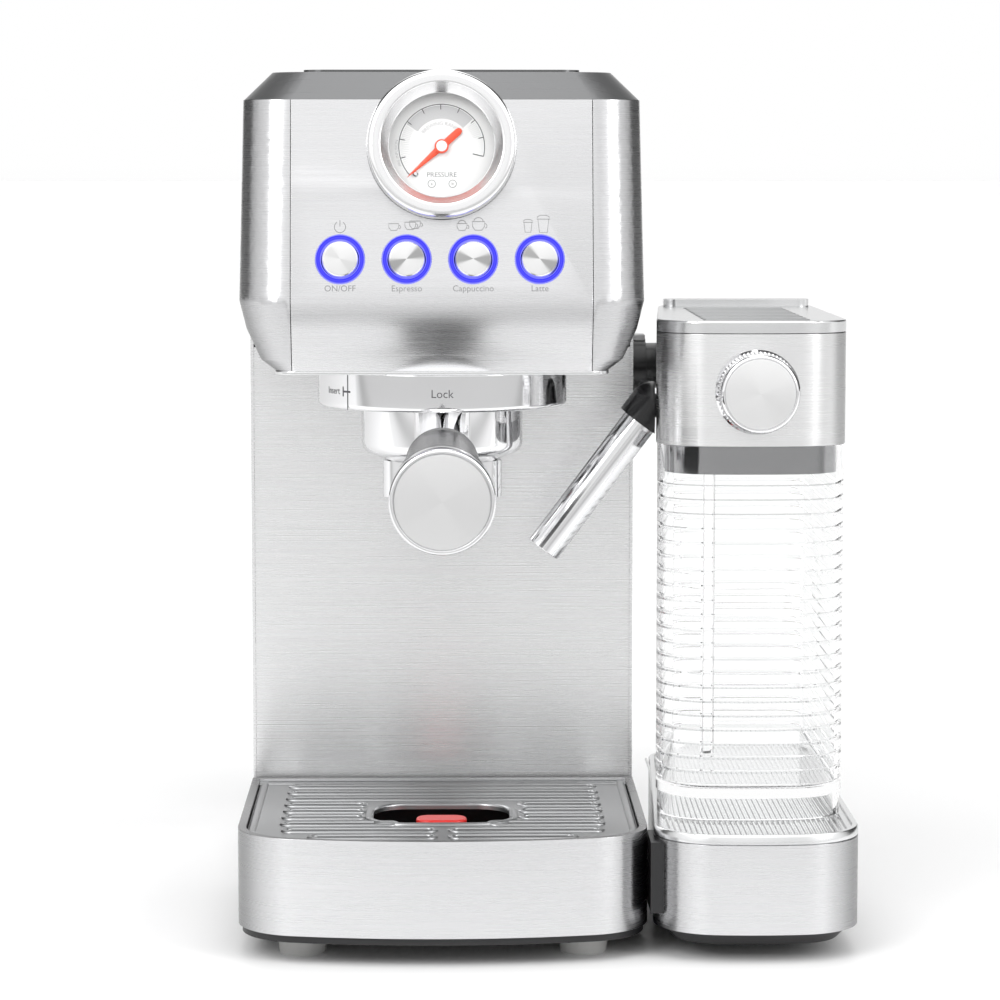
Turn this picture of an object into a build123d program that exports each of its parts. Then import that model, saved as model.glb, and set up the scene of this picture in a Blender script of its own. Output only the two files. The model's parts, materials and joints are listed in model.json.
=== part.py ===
from build123d import *
from math import atan2, cos, radians, sin
import os

os.makedirs("parts", exist_ok=True)

# ---------------------------------------------------------------------------
# Driving dimensions, in millimetres.  +X is to the right, +Y to the back and
# +Z up, from the middle of the floor area that the machine and its milk unit
# cover together.
# ---------------------------------------------------------------------------
machine_x = -38.5          # middle plane of the machine itself
front_y = -106.0           # foremost point of the drip tray
half_width = 75.0          # of the machine's base and column
sheet = 1.2                # steel sheet
gap = 0.3                  # free space between pieces that move on each other


def back(distance):
    """The Y of something that lies this far behind the front of the tray."""
    return front_y + distance


base_bottom = 8.0
base_top = 10.3
tray_top = 46.1
tray_rear = back(129.8)
column_front = back(134.0)
bay_front = back(213.0)    # where the body ends and the water tank's bay starts
machine_rear = back(295.0)
body_top = 310.4           # where the chamfered top begins
roof_top = 320.5

head_bottom = 213.0
bend_height = 238.3        # the horizontal crease of the head's front
bend_y = back(17.0)
head_top_y = back(29.0)
seam_half = 54.0           # the front panel's two upright seams

group_y = back(67.0)
collar_radius = 46.3
collar_bottom = 198.2
collar_top = 211.7

milk_front = back(31.0)
milk_rear = back(178.0)
milk_left = machine_x + 77.8
milk_left_rear = machine_x + 87.5
milk_right = machine_x + 148.8
milk_base_left = machine_x + 76.2
milk_base_left_rear = machine_x + 84.5
milk_base_right = machine_x + 152.0
milk_base_front = back(3.0)
milk_base_rear = back(183.0)
milk_housing_bottom = 185.2
milk_housing_top = 226.0
spout_height = 197.7

# The sloping part of the head's front, as a plane: its X runs to the right,
# its Y up the slope and its Z straight out of the panel.
slope = atan2(head_top_y - bend_y, body_top - bend_height)
panel = Plane(origin=(machine_x, bend_y, bend_height), x_dir=(1, 0, 0), z_dir=(0, -cos(slope), sin(slope)))
gauge_up = 56.5
gauge_radius = 26.8
button_up = 15.4
button_pitch = 23.8
button_shift = -0.7
button_spots = [(button_shift + button_pitch * (i - 1.5), button_up) for i in range(4)]
button_travel = 2.0


def save(name, builder):
    """Label one finished piece and write it as its own STEP file."""
    builder.part.label = name
    export_step(builder.part, f"parts/{name}.step")


def bowed_plan(height, left, right, front, rear, bow, corner, rear_corner=0.0, left_rear=None, inset=0.0):
    """A level outline: straight sides and back, a front that bows out, rounded corners."""
    with BuildSketch(Plane.XY.offset(height)) as plan:
        with BuildLine():
            Polyline((left, front + bow), (left_rear or left, rear), (right, rear), (right, front + bow))
            ThreePointArc((right, front + bow), ((left + right) / 2, front), (left, front + bow))
        make_face()
        fillet(plan.vertices().group_by(Axis.Y)[0], corner)
        if rear_corner:
            fillet(plan.vertices().group_by(Axis.Y)[-1], rear_corner)
        if inset:
            offset(amount=-inset)
    return plan.sketch


def tray_plan(height, inset=0.0, rear=tray_rear):
    left = machine_x - half_width
    right = machine_x + half_width
    return bowed_plan(height, left, right, front_y, rear, bow=11.0, corner=26.0, inset=inset)


def milk_plan(height, inset=0.0):
    return bowed_plan(height, milk_left, milk_right, milk_front, milk_rear, bow=4.5, corner=21.0,
                      rear_corner=12.0, left_rear=milk_left_rear, inset=inset)


def milk_base_plan(height, inset=0.0):
    return bowed_plan(height, milk_base_left, milk_base_right, milk_base_front, milk_base_rear, bow=5.0,
                      corner=24.0, rear_corner=14.0, left_rear=milk_base_left_rear, inset=inset)


def head_section(height, front_half, rear_half, front, rear, corner, inset=0.0):
    """One level section of the head: a trapezoid whose two front corners are rounded."""
    far = rear + 2 * inset
    with BuildSketch(Plane.XY.offset(height)) as section:
        with BuildLine():
            Polyline((machine_x - front_half, front), (machine_x + front_half, front),
                     (machine_x + rear_half, far), (machine_x - rear_half, far), close=True)
        make_face()
        fillet(section.vertices().group_by(Axis.Y)[0], corner)
        if inset:
            offset(amount=-inset)
    return section.sketch


# ---------------------------------------------------------------------------
# Base and column
# ---------------------------------------------------------------------------
foot_radius = 9.3
rail_half = 40.0           # the two low rails that the tray runs on
with BuildPart() as base_pan:
    extrude(tray_plan(base_bottom, inset=1.4, rear=machine_rear), amount=base_top - base_bottom)
    rail_length = tray_rear - back(30.0)
    with BuildSketch(Plane.XY.offset(base_top)):
        with Locations((machine_x, back(30.0) + rail_length / 2)):
            with GridLocations(2 * rail_half, 0, 2, 1):
                Rectangle(2.0, rail_length)
    extrude(amount=1.6)
    fillet(base_pan.edges().filter_by(GeomType.LINE).filter_by(Axis.Y).group_by(Axis.Z)[-1], 0.4)
save("base_pan", base_pan)

foot_spots = [(machine_x + side * 51.5, back(distance)) for side in (-1, 1) for distance in (29.0, 268.0)]
with BuildPart() as base_feet:
    with BuildSketch(Plane.XY.offset(base_bottom)):
        with Locations(*foot_spots):
            Circle(foot_radius)
    extrude(amount=-base_bottom, taper=6.0)
save("base_feet", base_feet)

splash_bottom = 12.0
splash_top = 216.0
port_y = back(150.0)       # the steam port through the right-hand side
port_z = 207.8
with BuildPart() as splash_panel:
    with BuildSketch(Plane.XZ.offset(-column_front)):
        with Locations((machine_x, (splash_bottom + splash_top) / 2)):
            Rectangle(2 * half_width - 2 * sheet - 0.2, splash_top - splash_bottom)
    extrude(amount=-sheet)
save("splash_panel", splash_panel)

for side, name in ((-1, "column_side_left"), (1, "column_side_right")):
    with BuildPart() as column_side:
        with BuildSketch(Plane.XY.offset(base_top)):
            with Locations((machine_x + side * (half_width - sheet / 2), (column_front + machine_rear) / 2)):
                Rectangle(sheet, machine_rear - column_front)
        extrude(amount=body_top - base_top)
        if side > 0:
            with BuildSketch(Plane.YZ.offset(machine_x + half_width)):
                with Locations((port_y, port_z)):
                    Circle(6.0)
            extrude(amount=-2 * sheet, mode=Mode.SUBTRACT)
        rear_edges = column_side.edges().filter_by(Axis.Z).group_by(Axis.Y)[-1]
        fillet(rear_edges, 0.4)
    save(name, column_side)

bay_half = half_width - sheet - 0.1
shelf_low = 34.0
shelf_top = 40.0
gland_height = 24.0
gland_x = machine_x + 45.0
rear_screw_spots = [(machine_x + side * 66, height) for side in (-1, 1) for height in (17.0, 30.0)]
cover_wall = 2.5
cover_rear = back(293.4)
cover_seam = 0.1           # between the bay's wall, its shelf and the panel under it
with BuildPart() as rear_cover:
    for low_y, high_y, low_z, high_z in (
            (bay_front - cover_wall, bay_front, shelf_top + cover_seam, body_top - 0.2),
            (bay_front - cover_wall, cover_rear, shelf_low, shelf_top),
            (cover_rear - cover_wall, cover_rear, base_top + 0.1, shelf_low - cover_seam)):
        with Locations((machine_x, (low_y + high_y) / 2, (low_z + high_z) / 2)):
            Box(2 * bay_half, high_y - low_y, high_z - low_z)
    with BuildSketch(Plane.XZ.offset(-back(295.0))):
        with Locations((gland_x, gland_height)):
            Circle(6.1)
        with Locations(*rear_screw_spots):
            Circle(1.6)
    extrude(amount=6.0, both=True, mode=Mode.SUBTRACT)
    with BuildSketch(Plane.XY.offset(shelf_top)):
        with Locations((machine_x, back(254.0))):
            Circle(9.0)
    extrude(amount=-shelf_top + shelf_low, mode=Mode.SUBTRACT)
save("rear_cover", rear_cover)

with BuildPart() as screws:
    with BuildSketch(Plane.XZ.offset(-cover_rear)):
        with Locations(*rear_screw_spots):
            Circle(2.9)
    extrude(amount=-1.5)
    with BuildSketch(Plane.XZ.offset(-cover_rear)):
        with Locations(*rear_screw_spots):
            Circle(1.5)
    extrude(amount=6.0)
    with BuildSketch(Plane.XZ.offset(-back(294.9))):
        with Locations(*rear_screw_spots):
            Rectangle(3.4, 0.8)
            Rectangle(0.8, 3.4)
    extrude(amount=0.9, mode=Mode.SUBTRACT)
save("screws", screws)

gland_bore = 3.6
gland_length = 10.0
with BuildPart() as cord_gland:
    with BuildSketch(Plane.XZ.offset(-back(294.8))):
        with Locations((gland_x, gland_height)):
            Circle(8.5)
    extrude(amount=1.4)
    with BuildSketch(Plane.XZ.offset(-cover_rear)):
        with Locations((gland_x, gland_height)):
            Circle(6.0)
    extrude(amount=gland_length - 1.4)
    with BuildSketch(Plane.XZ.offset(-back(294.8))):
        with Locations((gland_x, gland_height)):
            Circle(gland_bore)
    extrude(amount=gland_length, mode=Mode.SUBTRACT)
save("cord_gland", cord_gland)

shelf_height = 246.0
with BuildPart() as chassis_frame:
    with BuildSketch(Plane.XY.offset(base_top)):
        with Locations((machine_x, back(173.0))):
            Rectangle(146.0, 70.0)
    extrude(amount=1.5)
    for side in (-1, 1):
        with BuildSketch(Plane.YZ.offset(machine_x + side * 58.0)):
            with Locations((back(173.0), (base_top + shelf_height) / 2)):
                Rectangle(60.0, shelf_height - base_top)
            with Locations((back(173.0), 110.0)):
                SlotOverall(130.0, 40.0, rotation=90, mode=Mode.SUBTRACT)
        extrude(amount=2.0)
    with BuildSketch(Plane.XY.offset(shelf_height)):
        with Locations((machine_x, back(124.0))):
            Rectangle(122.0, 160.0)
        with Locations((machine_x, group_y)):
            Circle(9.0, mode=Mode.SUBTRACT)
    extrude(amount=2.0)
save("chassis_frame", chassis_frame)

# ---------------------------------------------------------------------------
# Head: a shell of level sections, split into front panel and two corner panels
# ---------------------------------------------------------------------------
head_rows = [          # height, half width in front, half width behind, front, corner radius
    (head_bottom, 60.0, 62.0, back(26.0), 8.0),
    (217.0, 65.5, 67.0, back(24.5), 12.0),
    (228.0, 70.6, 72.2, back(20.5), 16.5),
    (bend_height, 73.0, half_width, bend_y, 18.5),
    (body_top, 71.4, half_width, head_top_y, 18.0),
]
head_rear = column_front - 0.2
with BuildPart() as head_shell:
    loft(sections=[head_section(z, a, b, f, head_rear, r) for z, a, b, f, r in head_rows], ruled=True)
    loft(sections=[head_section(z, a, b, f, head_rear, r, inset=1.5) for z, a, b, f, r in head_rows],
         ruled=True, mode=Mode.SUBTRACT)

with BuildPart() as head_front_panel:
    add(head_shell.part)
    with Locations((machine_x, back(10.0), 262.0)):
        Box(2 * seam_half, 80.0, 110.0, mode=Mode.INTERSECT)
    with BuildSketch(panel.offset(-8.0)):
        with Locations((0, gauge_up)):
            Circle(gauge_radius + 0.1)
        with Locations(*button_spots):
            Circle(8.9)
    extrude(amount=16.0, mode=Mode.SUBTRACT)
save("head_front_panel", head_front_panel)

for side, name in ((-1, "head_side_left"), (1, "head_side_right")):
    with BuildPart() as head_side:
        add(head_shell.part)
        with Locations((machine_x + side * (seam_half + 0.25 + 15.0), back(80.0), 262.0)):
            Box(30.0, 140.0, 110.0, mode=Mode.INTERSECT)
    save(name, head_side)

with BuildPart() as head_underside:
    extrude(head_section(collar_top, 60.3, 62.3, back(25.7), head_rear, 8.3),
            amount=head_bottom - collar_top)
    extrude(head_section(head_bottom, 60.0, 62.0, back(26.0), head_rear, 8.0, inset=1.7), amount=2.0)
    with BuildSketch(Plane.XY.offset(collar_top)):
        with Locations((machine_x, group_y)):
            Circle(36.0)
    extrude(amount=6.0, mode=Mode.SUBTRACT)
    with Locations((machine_x, column_front + 5.0, 214.0)):
        Box(160.0, 10.4, 20.0, mode=Mode.SUBTRACT)
save("head_underside", head_underside)

with BuildPart() as top_cover:
    loft(sections=[head_section(body_top, 71.4, half_width, head_top_y, bay_front - 0.3, 18.0),
                   head_section(roof_top, 61.5, 65.0, back(41.0), bay_front - 0.3, 14.0)], ruled=True)
    loft(sections=[head_section(body_top, 69.4, half_width - 2.0, back(31.0), bay_front - 2.3, 16.0),
                   head_section(roof_top - 2.0, 61.5, 65.0, back(41.0), bay_front - 2.3, 14.0)],
         ruled=True, mode=Mode.SUBTRACT)
    with BuildSketch(panel.offset(-30.0)):
        with Locations((0, gauge_up)):
            Circle(gauge_radius + 0.1)
    extrude(amount=60.0, mode=Mode.SUBTRACT)
save("top_cover", top_cover)

warmer_front = back(62.0)
warmer_rear = back(205.0)
warmer_rim = 1.4           # how far the rim stands above the roof
warmer_recess = 0.7
with BuildPart() as cup_warmer_plate:
    with BuildSketch(Plane.XY.offset(roof_top)):
        with Locations((machine_x, (warmer_front + warmer_rear) / 2)):
            RectangleRounded(102.0, warmer_rear - warmer_front, 8.0)
    extrude(amount=warmer_rim)
    with BuildSketch(Plane.XY.offset(roof_top + warmer_recess)):
        with Locations((machine_x, (warmer_front + warmer_rear) / 2)):
            RectangleRounded(97.0, warmer_rear - warmer_front - 5.0, 5.5)
    extrude(amount=warmer_rim, mode=Mode.SUBTRACT)
    with BuildSketch(Plane.XY.offset(roof_top + warmer_recess)):
        with Locations((machine_x, (warmer_front + warmer_rear) / 2)):
            with GridLocations(0, 14.0, 1, 9):
                SlotOverall(84.0, 4.0)
    extrude(amount=0.6)
save("cup_warmer_plate", cup_warmer_plate)

# ---------------------------------------------------------------------------
# Pressure gauge: bezel, case, dial, needle and lens on the panel's own axis
# ---------------------------------------------------------------------------
gauge_plane = Plane(origin=panel.from_local_coords((0, gauge_up, 0)), x_dir=(1, 0, 0), z_dir=panel.z_dir)
gauge_profile = Plane(origin=gauge_plane.origin, x_dir=gauge_plane.x_dir, z_dir=-gauge_plane.y_dir)
gauge_axis = Axis(gauge_plane.origin, gauge_plane.z_dir)

with BuildPart() as gauge_bezel:
    with BuildSketch(gauge_profile):
        with BuildLine():
            Polyline((gauge_radius, -6.0), (gauge_radius, 3.4))
            ThreePointArc((gauge_radius, 3.4), (25.9, 5.4), (24.0, 6.0))
            Polyline((24.0, 6.0), (22.2, 6.0), (21.0, 5.2), (18.8, 2.0), (18.8, 0.8), (23.6, 0.8),
                     (23.6, -6.0), (gauge_radius, -6.0))
        make_face()
    revolve(axis=gauge_axis)
save("gauge_bezel", gauge_bezel)

with BuildPart() as gauge_lens:
    with BuildSketch(gauge_plane.offset(-0.4)):
        Circle(23.3)
    extrude(amount=1.1)
save("gauge_lens", gauge_lens)

with BuildPart() as gauge_case:
    with BuildSketch(gauge_plane.offset(-20.0)):
        Circle(23.4)
    extrude(amount=19.5)
    with BuildSketch(gauge_plane.offset(-4.4)):
        Circle(22.4)
    extrude(amount=4.0, mode=Mode.SUBTRACT)
    with BuildSketch(gauge_plane.offset(-28.0)):
        Circle(5.0)
    extrude(amount=8.0)
save("gauge_case", gauge_case)

needle_pin = 0.8
with BuildPart() as gauge_dial:
    with BuildSketch(gauge_plane.offset(-4.4)):
        Circle(22.3)
        Circle(needle_pin + 0.05, mode=Mode.SUBTRACT)
    extrude(amount=1.2)
save("gauge_dial", gauge_dial)

needle_angle = 222.0       # at no pressure, from the dial's three o'clock
with BuildPart() as gauge_needle:
    with BuildSketch(gauge_plane.offset(-2.6)):
        with BuildLine():
            Polyline((-8.1, 1.3), (0.0, 1.3), (16.8, 0.25), (16.8, -0.25), (0.0, -1.3), (-8.1, -1.3))
            ThreePointArc((-8.1, -1.3), (-9.4, 0.0), (-8.1, 1.3))
        needle_blade = make_face(mode=Mode.PRIVATE)
        add(needle_blade, rotation=needle_angle)
        Circle(2.5)
    extrude(amount=0.8)
    with BuildSketch(gauge_plane.offset(-4.1)):
        Circle(needle_pin)
    extrude(amount=1.5)
save("gauge_needle", gauge_needle)

# ---------------------------------------------------------------------------
# Push buttons, their light rings, switches and the board behind the panel
# ---------------------------------------------------------------------------
with BuildPart() as button_light_rings:
    with BuildSketch(panel.offset(-3.0)):
        with Locations(*button_spots):
            Circle(8.8)
            Circle(6.9, mode=Mode.SUBTRACT)
    extrude(amount=3.7)
save("button_light_rings", button_light_rings)

button_names = ["button_power", "button_espresso", "button_cappuccino", "button_latte"]
for name, spot in zip(button_names, button_spots):
    with BuildPart() as button:
        with BuildSketch(panel.offset(-3.0)):
            with Locations(spot):
                Circle(6.55)
        extrude(amount=4.4)
        fillet(button.edges().filter_by(GeomType.CIRCLE).sort_by_distance(panel.offset(30.0).origin)[0], 0.8)
        with BuildSketch(panel.offset(-3.0)):
            with Locations(spot):
                Circle(2.2)
        extrude(amount=-4.7)
    save(name, button)

switch_top = -7.7 - button_travel - 0.4
board_face = switch_top - 3.2
with BuildPart() as button_switches:
    with BuildSketch(panel.offset(board_face)):
        with Locations(*button_spots):
            Rectangle(6.0, 6.0)
    extrude(amount=2.4)
    with BuildSketch(panel.offset(board_face + 2.4)):
        with Locations(*button_spots):
            Circle(1.6)
    extrude(amount=0.8)
save("button_switches", button_switches)

with BuildPart() as control_board:
    with BuildSketch(panel.offset(board_face)):
        with Locations((0, button_up + 0.5)):
            Rectangle(94.0, 20.0)
    extrude(amount=-1.6)
save("control_board", control_board)

# ---------------------------------------------------------------------------
# Brew group, with the two-lug bayonet that holds the portafilter
# ---------------------------------------------------------------------------
group_axis = Axis((machine_x, group_y, 0), (0, 0, 1))
group_profile = Plane(origin=(machine_x, group_y, 0), x_dir=(1, 0, 0), z_dir=(0, -1, 0))
unlock_turn = -54.0
lug_half_angle = 16.0
lug_low = 200.7
lug_high = 203.9


def lug_sector(height, inner, outer, half_angle, middle):
    """Two opposite ring sectors, as the lugs and the slots that let them in."""
    with BuildSketch(Plane.XY.offset(height)) as sectors:
        with Locations((machine_x, group_y)):
            Circle(outer)
            Circle(inner, mode=Mode.SUBTRACT)
        reach = 2 * outer
        for turn in (0.0, 180.0):
            start = radians(middle + turn + half_angle)
            end = radians(middle + turn + 180.0 - half_angle)
            corners = [(0, 0), (cos(start), sin(start)), (cos((start + end) / 2), sin((start + end) / 2)),
                       (cos(end), sin(end))]
            with BuildLine():
                Polyline(*[(machine_x + reach * cx, group_y + reach * cy) for cx, cy in corners], close=True)
            make_face(mode=Mode.SUBTRACT)
    return sectors.sketch


with BuildPart() as group_collar:
    with BuildSketch(group_profile):
        with BuildLine():
            Polyline((31.0, collar_bottom), (collar_radius - 2.0, collar_bottom))
            RadiusArc((collar_radius - 2.0, collar_bottom), (collar_radius, collar_bottom + 2.0), -2.0)
            Polyline((collar_radius, collar_bottom + 2.0), (collar_radius, collar_top), (35.2, collar_top),
                     (35.2, collar_bottom + 2.0), (31.0, collar_bottom + 2.0), (31.0, collar_bottom))
        make_face()
    revolve(axis=group_axis)
    extrude(lug_sector(collar_bottom, 30.5, 35.2, lug_half_angle + 3.0, unlock_turn), amount=2.0,
            mode=Mode.SUBTRACT)
save("group_collar", group_collar)

with BuildPart() as brew_head:
    with BuildSketch(group_profile):
        with BuildLine():
            Polyline((0, 207.6), (23.8, 207.6), (23.8, 209.2), (30.2, 209.2), (30.2, 206.0), (34.0, 206.0),
                     (34.0, 217.0), (30.0, 220.0), (30.0, shelf_height), (0, shelf_height), close=True)
        make_face()
    revolve(axis=group_axis)
save("brew_head", brew_head)

with BuildPart() as group_gasket:
    with BuildSketch(Plane.XY.offset(205.1)):
        with Locations((machine_x, group_y)):
            Circle(30.1)
            Circle(24.2, mode=Mode.SUBTRACT)
    extrude(amount=4.1)
save("group_gasket", group_gasket)

with BuildPart() as shower_screen:
    with BuildSketch(Plane.XY.offset(206.4)):
        with Locations((machine_x, group_y)):
            Circle(23.7)
            with PolarLocations(18.0, 18):
                Circle(0.8, mode=Mode.SUBTRACT)
            with PolarLocations(11.0, 12):
                Circle(0.8, mode=Mode.SUBTRACT)
    extrude(amount=1.2)
save("shower_screen", shower_screen)

# ---------------------------------------------------------------------------
# Portafilter: body, basket, spouts, ferrule and grip on a handle that dips
# ---------------------------------------------------------------------------
rim_height = 204.7
neck_height = 182.0        # the handle's middle line where it leaves the body
handle_dip = radians(3.0)
handle_dir = Vector(0, -cos(handle_dip), -sin(handle_dip))


def handle_plane(distance):
    """The plane across the handle, this far behind the tray's front."""
    drop = (back(37.0) - back(distance)) * sin(handle_dip)
    return Plane(origin=(machine_x, back(distance), neck_height - drop), x_dir=(1, 0, 0), z_dir=handle_dir)


with BuildPart() as portafilter_body:
    with BuildSketch(group_profile):
        with BuildLine():
            Polyline((27.3, rim_height - 1.6), (30.0, rim_height - 1.6), (30.0, 184.5))
            RadiusArc((30.0, 184.5), (26.5, 180.2), 5.0)
            Polyline((26.5, 180.2), (20.0, 177.6), (5.0, 177.6), (5.0, 180.0), (19.0, 180.0), (25.0, 183.0),
                     (27.3, 186.0), (27.3, rim_height - 1.6))
        make_face()
    revolve(axis=group_axis)
    extrude(lug_sector(lug_low, 29.0, 34.2, lug_half_angle, 0.0), amount=lug_high - lug_low - 0.8)
    with BuildSketch(handle_plane(44.0)):
        Circle(9.4)
    extrude(amount=23.4)
    with BuildSketch(Plane.XY.offset(186.0)):
        with Locations((machine_x, group_y)):
            Circle(27.3)
    extrude(amount=20.0, mode=Mode.SUBTRACT)
save("portafilter_body", portafilter_body)

with BuildPart() as filter_basket:
    with BuildSketch(group_profile):
        with BuildLine():
            Polyline((0, 187.0), (24.5, 187.0), (26.2, 189.0), (26.6, rim_height - 1.5),
                     (29.6, rim_height - 1.5),
                     (29.6, rim_height - 0.4), (25.9, rim_height - 0.4), (25.6, 189.6), (24.2, 187.7),
                     (0, 187.7), close=True)
        make_face()
    revolve(axis=group_axis)
save("filter_basket", filter_basket)

with BuildPart() as portafilter_spouts:
    spout_half = 22.2
    with BuildSketch(Plane.XY.offset(164.0)):
        with Locations((machine_x, group_y)):
            SlotOverall(2 * spout_half, 15.0)
    extrude(amount=13.5)
    with BuildSketch(Plane.XY.offset(164.0)):
        with Locations((machine_x, group_y)):
            SlotOverall(2 * spout_half - 4.0, 11.0)
    extrude(amount=8.0, mode=Mode.SUBTRACT)
    with BuildSketch(Plane.XZ.offset(-group_y)):
        with Locations((machine_x, 163.0)):
            SlotOverall(24.0, 13.0)
    extrude(amount=12.0, both=True, mode=Mode.SUBTRACT)
    with BuildSketch(Plane.XY.offset(172.0)):
        with Locations((machine_x, group_y)):
            Circle(3.5)
    extrude(amount=6.0, mode=Mode.SUBTRACT)
save("portafilter_spouts", portafilter_spouts)

handle_start = 20.53
with BuildPart() as portafilter_ferrule:
    ferrule_plane = handle_plane(handle_start)
    ferrule_profile = Plane(origin=ferrule_plane.origin, x_dir=(1, 0, 0), z_dir=-ferrule_plane.y_dir)
    with BuildSketch(ferrule_profile):
        with BuildLine():
            Polyline((0, 0), (10.2, 0), (11.4, 1.2), (13.2, 9.0), (0, 9.0), close=True)
        make_face()
    revolve(axis=Axis(ferrule_plane.origin, ferrule_plane.z_dir))
save("portafilter_ferrule", portafilter_ferrule)

grip_length = 84.0
with BuildPart() as portafilter_grip:
    with BuildSketch(ferrule_profile):
        with BuildLine():
            Line((0, 9.1), (12.8, 9.1))
            Spline((12.8, 9.1), (13.6, 30.0), (15.6, 60.0), (17.4, 9.1 + grip_length))
            Polyline((17.4, 9.1 + grip_length), (0, 9.1 + grip_length), (0, 9.1))
        make_face()
    revolve(axis=Axis(ferrule_plane.origin, ferrule_plane.z_dir))
save("portafilter_grip", portafilter_grip)

cap_start = 9.2 + grip_length
cap_end = cap_start + 9.6
with BuildPart() as grip_end_cap:
    with BuildSketch(ferrule_profile):
        with BuildLine():
            Polyline((0, cap_start), (17.6, cap_start), (17.8, cap_end - 1.6))
            RadiusArc((17.8, cap_end - 1.6), (16.4, cap_end), -1.5)
            Polyline((16.4, cap_end), (0, cap_end), (0, cap_start))
        make_face()
    revolve(axis=Axis(ferrule_plane.origin, ferrule_plane.z_dir))
save("grip_end_cap", grip_end_cap)

# ---------------------------------------------------------------------------
# Drip tray with its steel band, grille and float
# ---------------------------------------------------------------------------
ledge_height = 42.7
with BuildPart() as drip_tray:
    extrude(tray_plan(12.2, inset=1.05), amount=44.9 - 12.2)
    extrude(tray_plan(ledge_height, inset=3.0), amount=4.0, mode=Mode.SUBTRACT)
    extrude(tray_plan(14.4, inset=7.0), amount=40.0, mode=Mode.SUBTRACT)
save("drip_tray", drip_tray)

with BuildPart() as drip_tray_front:
    extrude(tray_plan(base_top + 0.4), amount=tray_top - base_top - 0.4)
    extrude(tray_plan(base_top, inset=3.0), amount=40.0, mode=Mode.SUBTRACT)
    extrude(tray_plan(base_top, inset=1.0), amount=44.95 - base_top, mode=Mode.SUBTRACT)
    with Locations((machine_x, tray_rear, 44.95 - 25.0)):
        Box(2 * half_width - 2.4, 6.0, 50.0, mode=Mode.SUBTRACT)
save("drip_tray_front", drip_tray_front)

slot_pitch = 12.6
slot_width = 4.0
oval_y = back(60.0)
slot_spans = ([(-58.0, 58.0)] * 3 + [(30.5, 58.0)] * 3 + [(18.4, 58.0), (4.0, 57.0), (4.0, 47.0)])
with BuildPart() as drip_grille:
    extrude(tray_plan(43.0, inset=3.4), amount=1.4)
    with BuildSketch(Plane.XY.offset(42.0)):
        for row, (start, end) in enumerate(slot_spans):
            row_y = back(118.0) - row * slot_pitch
            middle = (start + end) / 2
            sides = (1,) if middle == 0 else (-1, 1)
            with Locations(*[(machine_x + side * middle, row_y) for side in sides]):
                SlotOverall(end - start, slot_width)
        with Locations((machine_x - 0.5, oval_y)):
            RectangleRounded(51.0, 37.0, 13.0)
    extrude(amount=5.0, mode=Mode.SUBTRACT)
save("drip_grille", drip_grille)

with BuildPart() as tray_float:
    with BuildSketch(Plane.XY.offset(14.8)):
        with Locations((machine_x - 0.5, oval_y)):
            RectangleRounded(40.0, 26.0, 8.0)
    extrude(amount=6.0)
    with BuildSketch(Plane.XY.offset(20.8)):
        with Locations((machine_x - 0.5, oval_y)):
            RectangleRounded(19.0, 12.0, 5.0)
    extrude(amount=22.6)
    fillet(tray_float.faces().sort_by(Axis.Z)[-1].edges(), 1.0)
save("tray_float", tray_float)

# ---------------------------------------------------------------------------
# Water tank in the rear bay, with its hinged lid
# ---------------------------------------------------------------------------
tank_half = bay_half - 0.5
tank_front = bay_front + 0.6
tank_rear = back(289.6)
tank_bottom = shelf_top + 0.4
lid_hinge_y = back(292.5)
lid_hinge_z = 307.8
lid_rear = lid_hinge_y - 0.1
with BuildPart() as water_tank:
    with BuildSketch(Plane.XY.offset(tank_bottom)):
        with Locations((machine_x, (tank_front + tank_rear) / 2)):
            RectangleRounded(2 * tank_half, tank_rear - tank_front, 7.0)
    extrude(amount=body_top - 0.3 - tank_bottom)
    with BuildSketch(Plane.XY.offset(tank_bottom + 2.2)):
        with Locations((machine_x, (tank_front + tank_rear) / 2)):
            RectangleRounded(2 * tank_half - 4.4, tank_rear - tank_front - 4.4, 5.0)
    extrude(amount=300.0, mode=Mode.SUBTRACT)
    with BuildSketch(Plane.XY.offset(tank_bottom)):
        with Locations((machine_x, back(254.0))):
            Circle(6.2)
    extrude(amount=2.2, mode=Mode.SUBTRACT)
    for side in (-1, 1):
        with BuildSketch(Plane.YZ.offset(machine_x + side * 40.0)):
            with Locations((lid_hinge_y, lid_hinge_z)):
                Circle(1.5)
        extrude(amount=side * 8.0)
        with BuildSketch(Plane.YZ.offset(machine_x + side * 40.0)):
            with Locations((lid_hinge_y - 1.4, lid_hinge_z - 0.2)):
                Rectangle(5.0, 4.0)
        extrude(amount=side * 3.0)
save("water_tank", water_tank)

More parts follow.
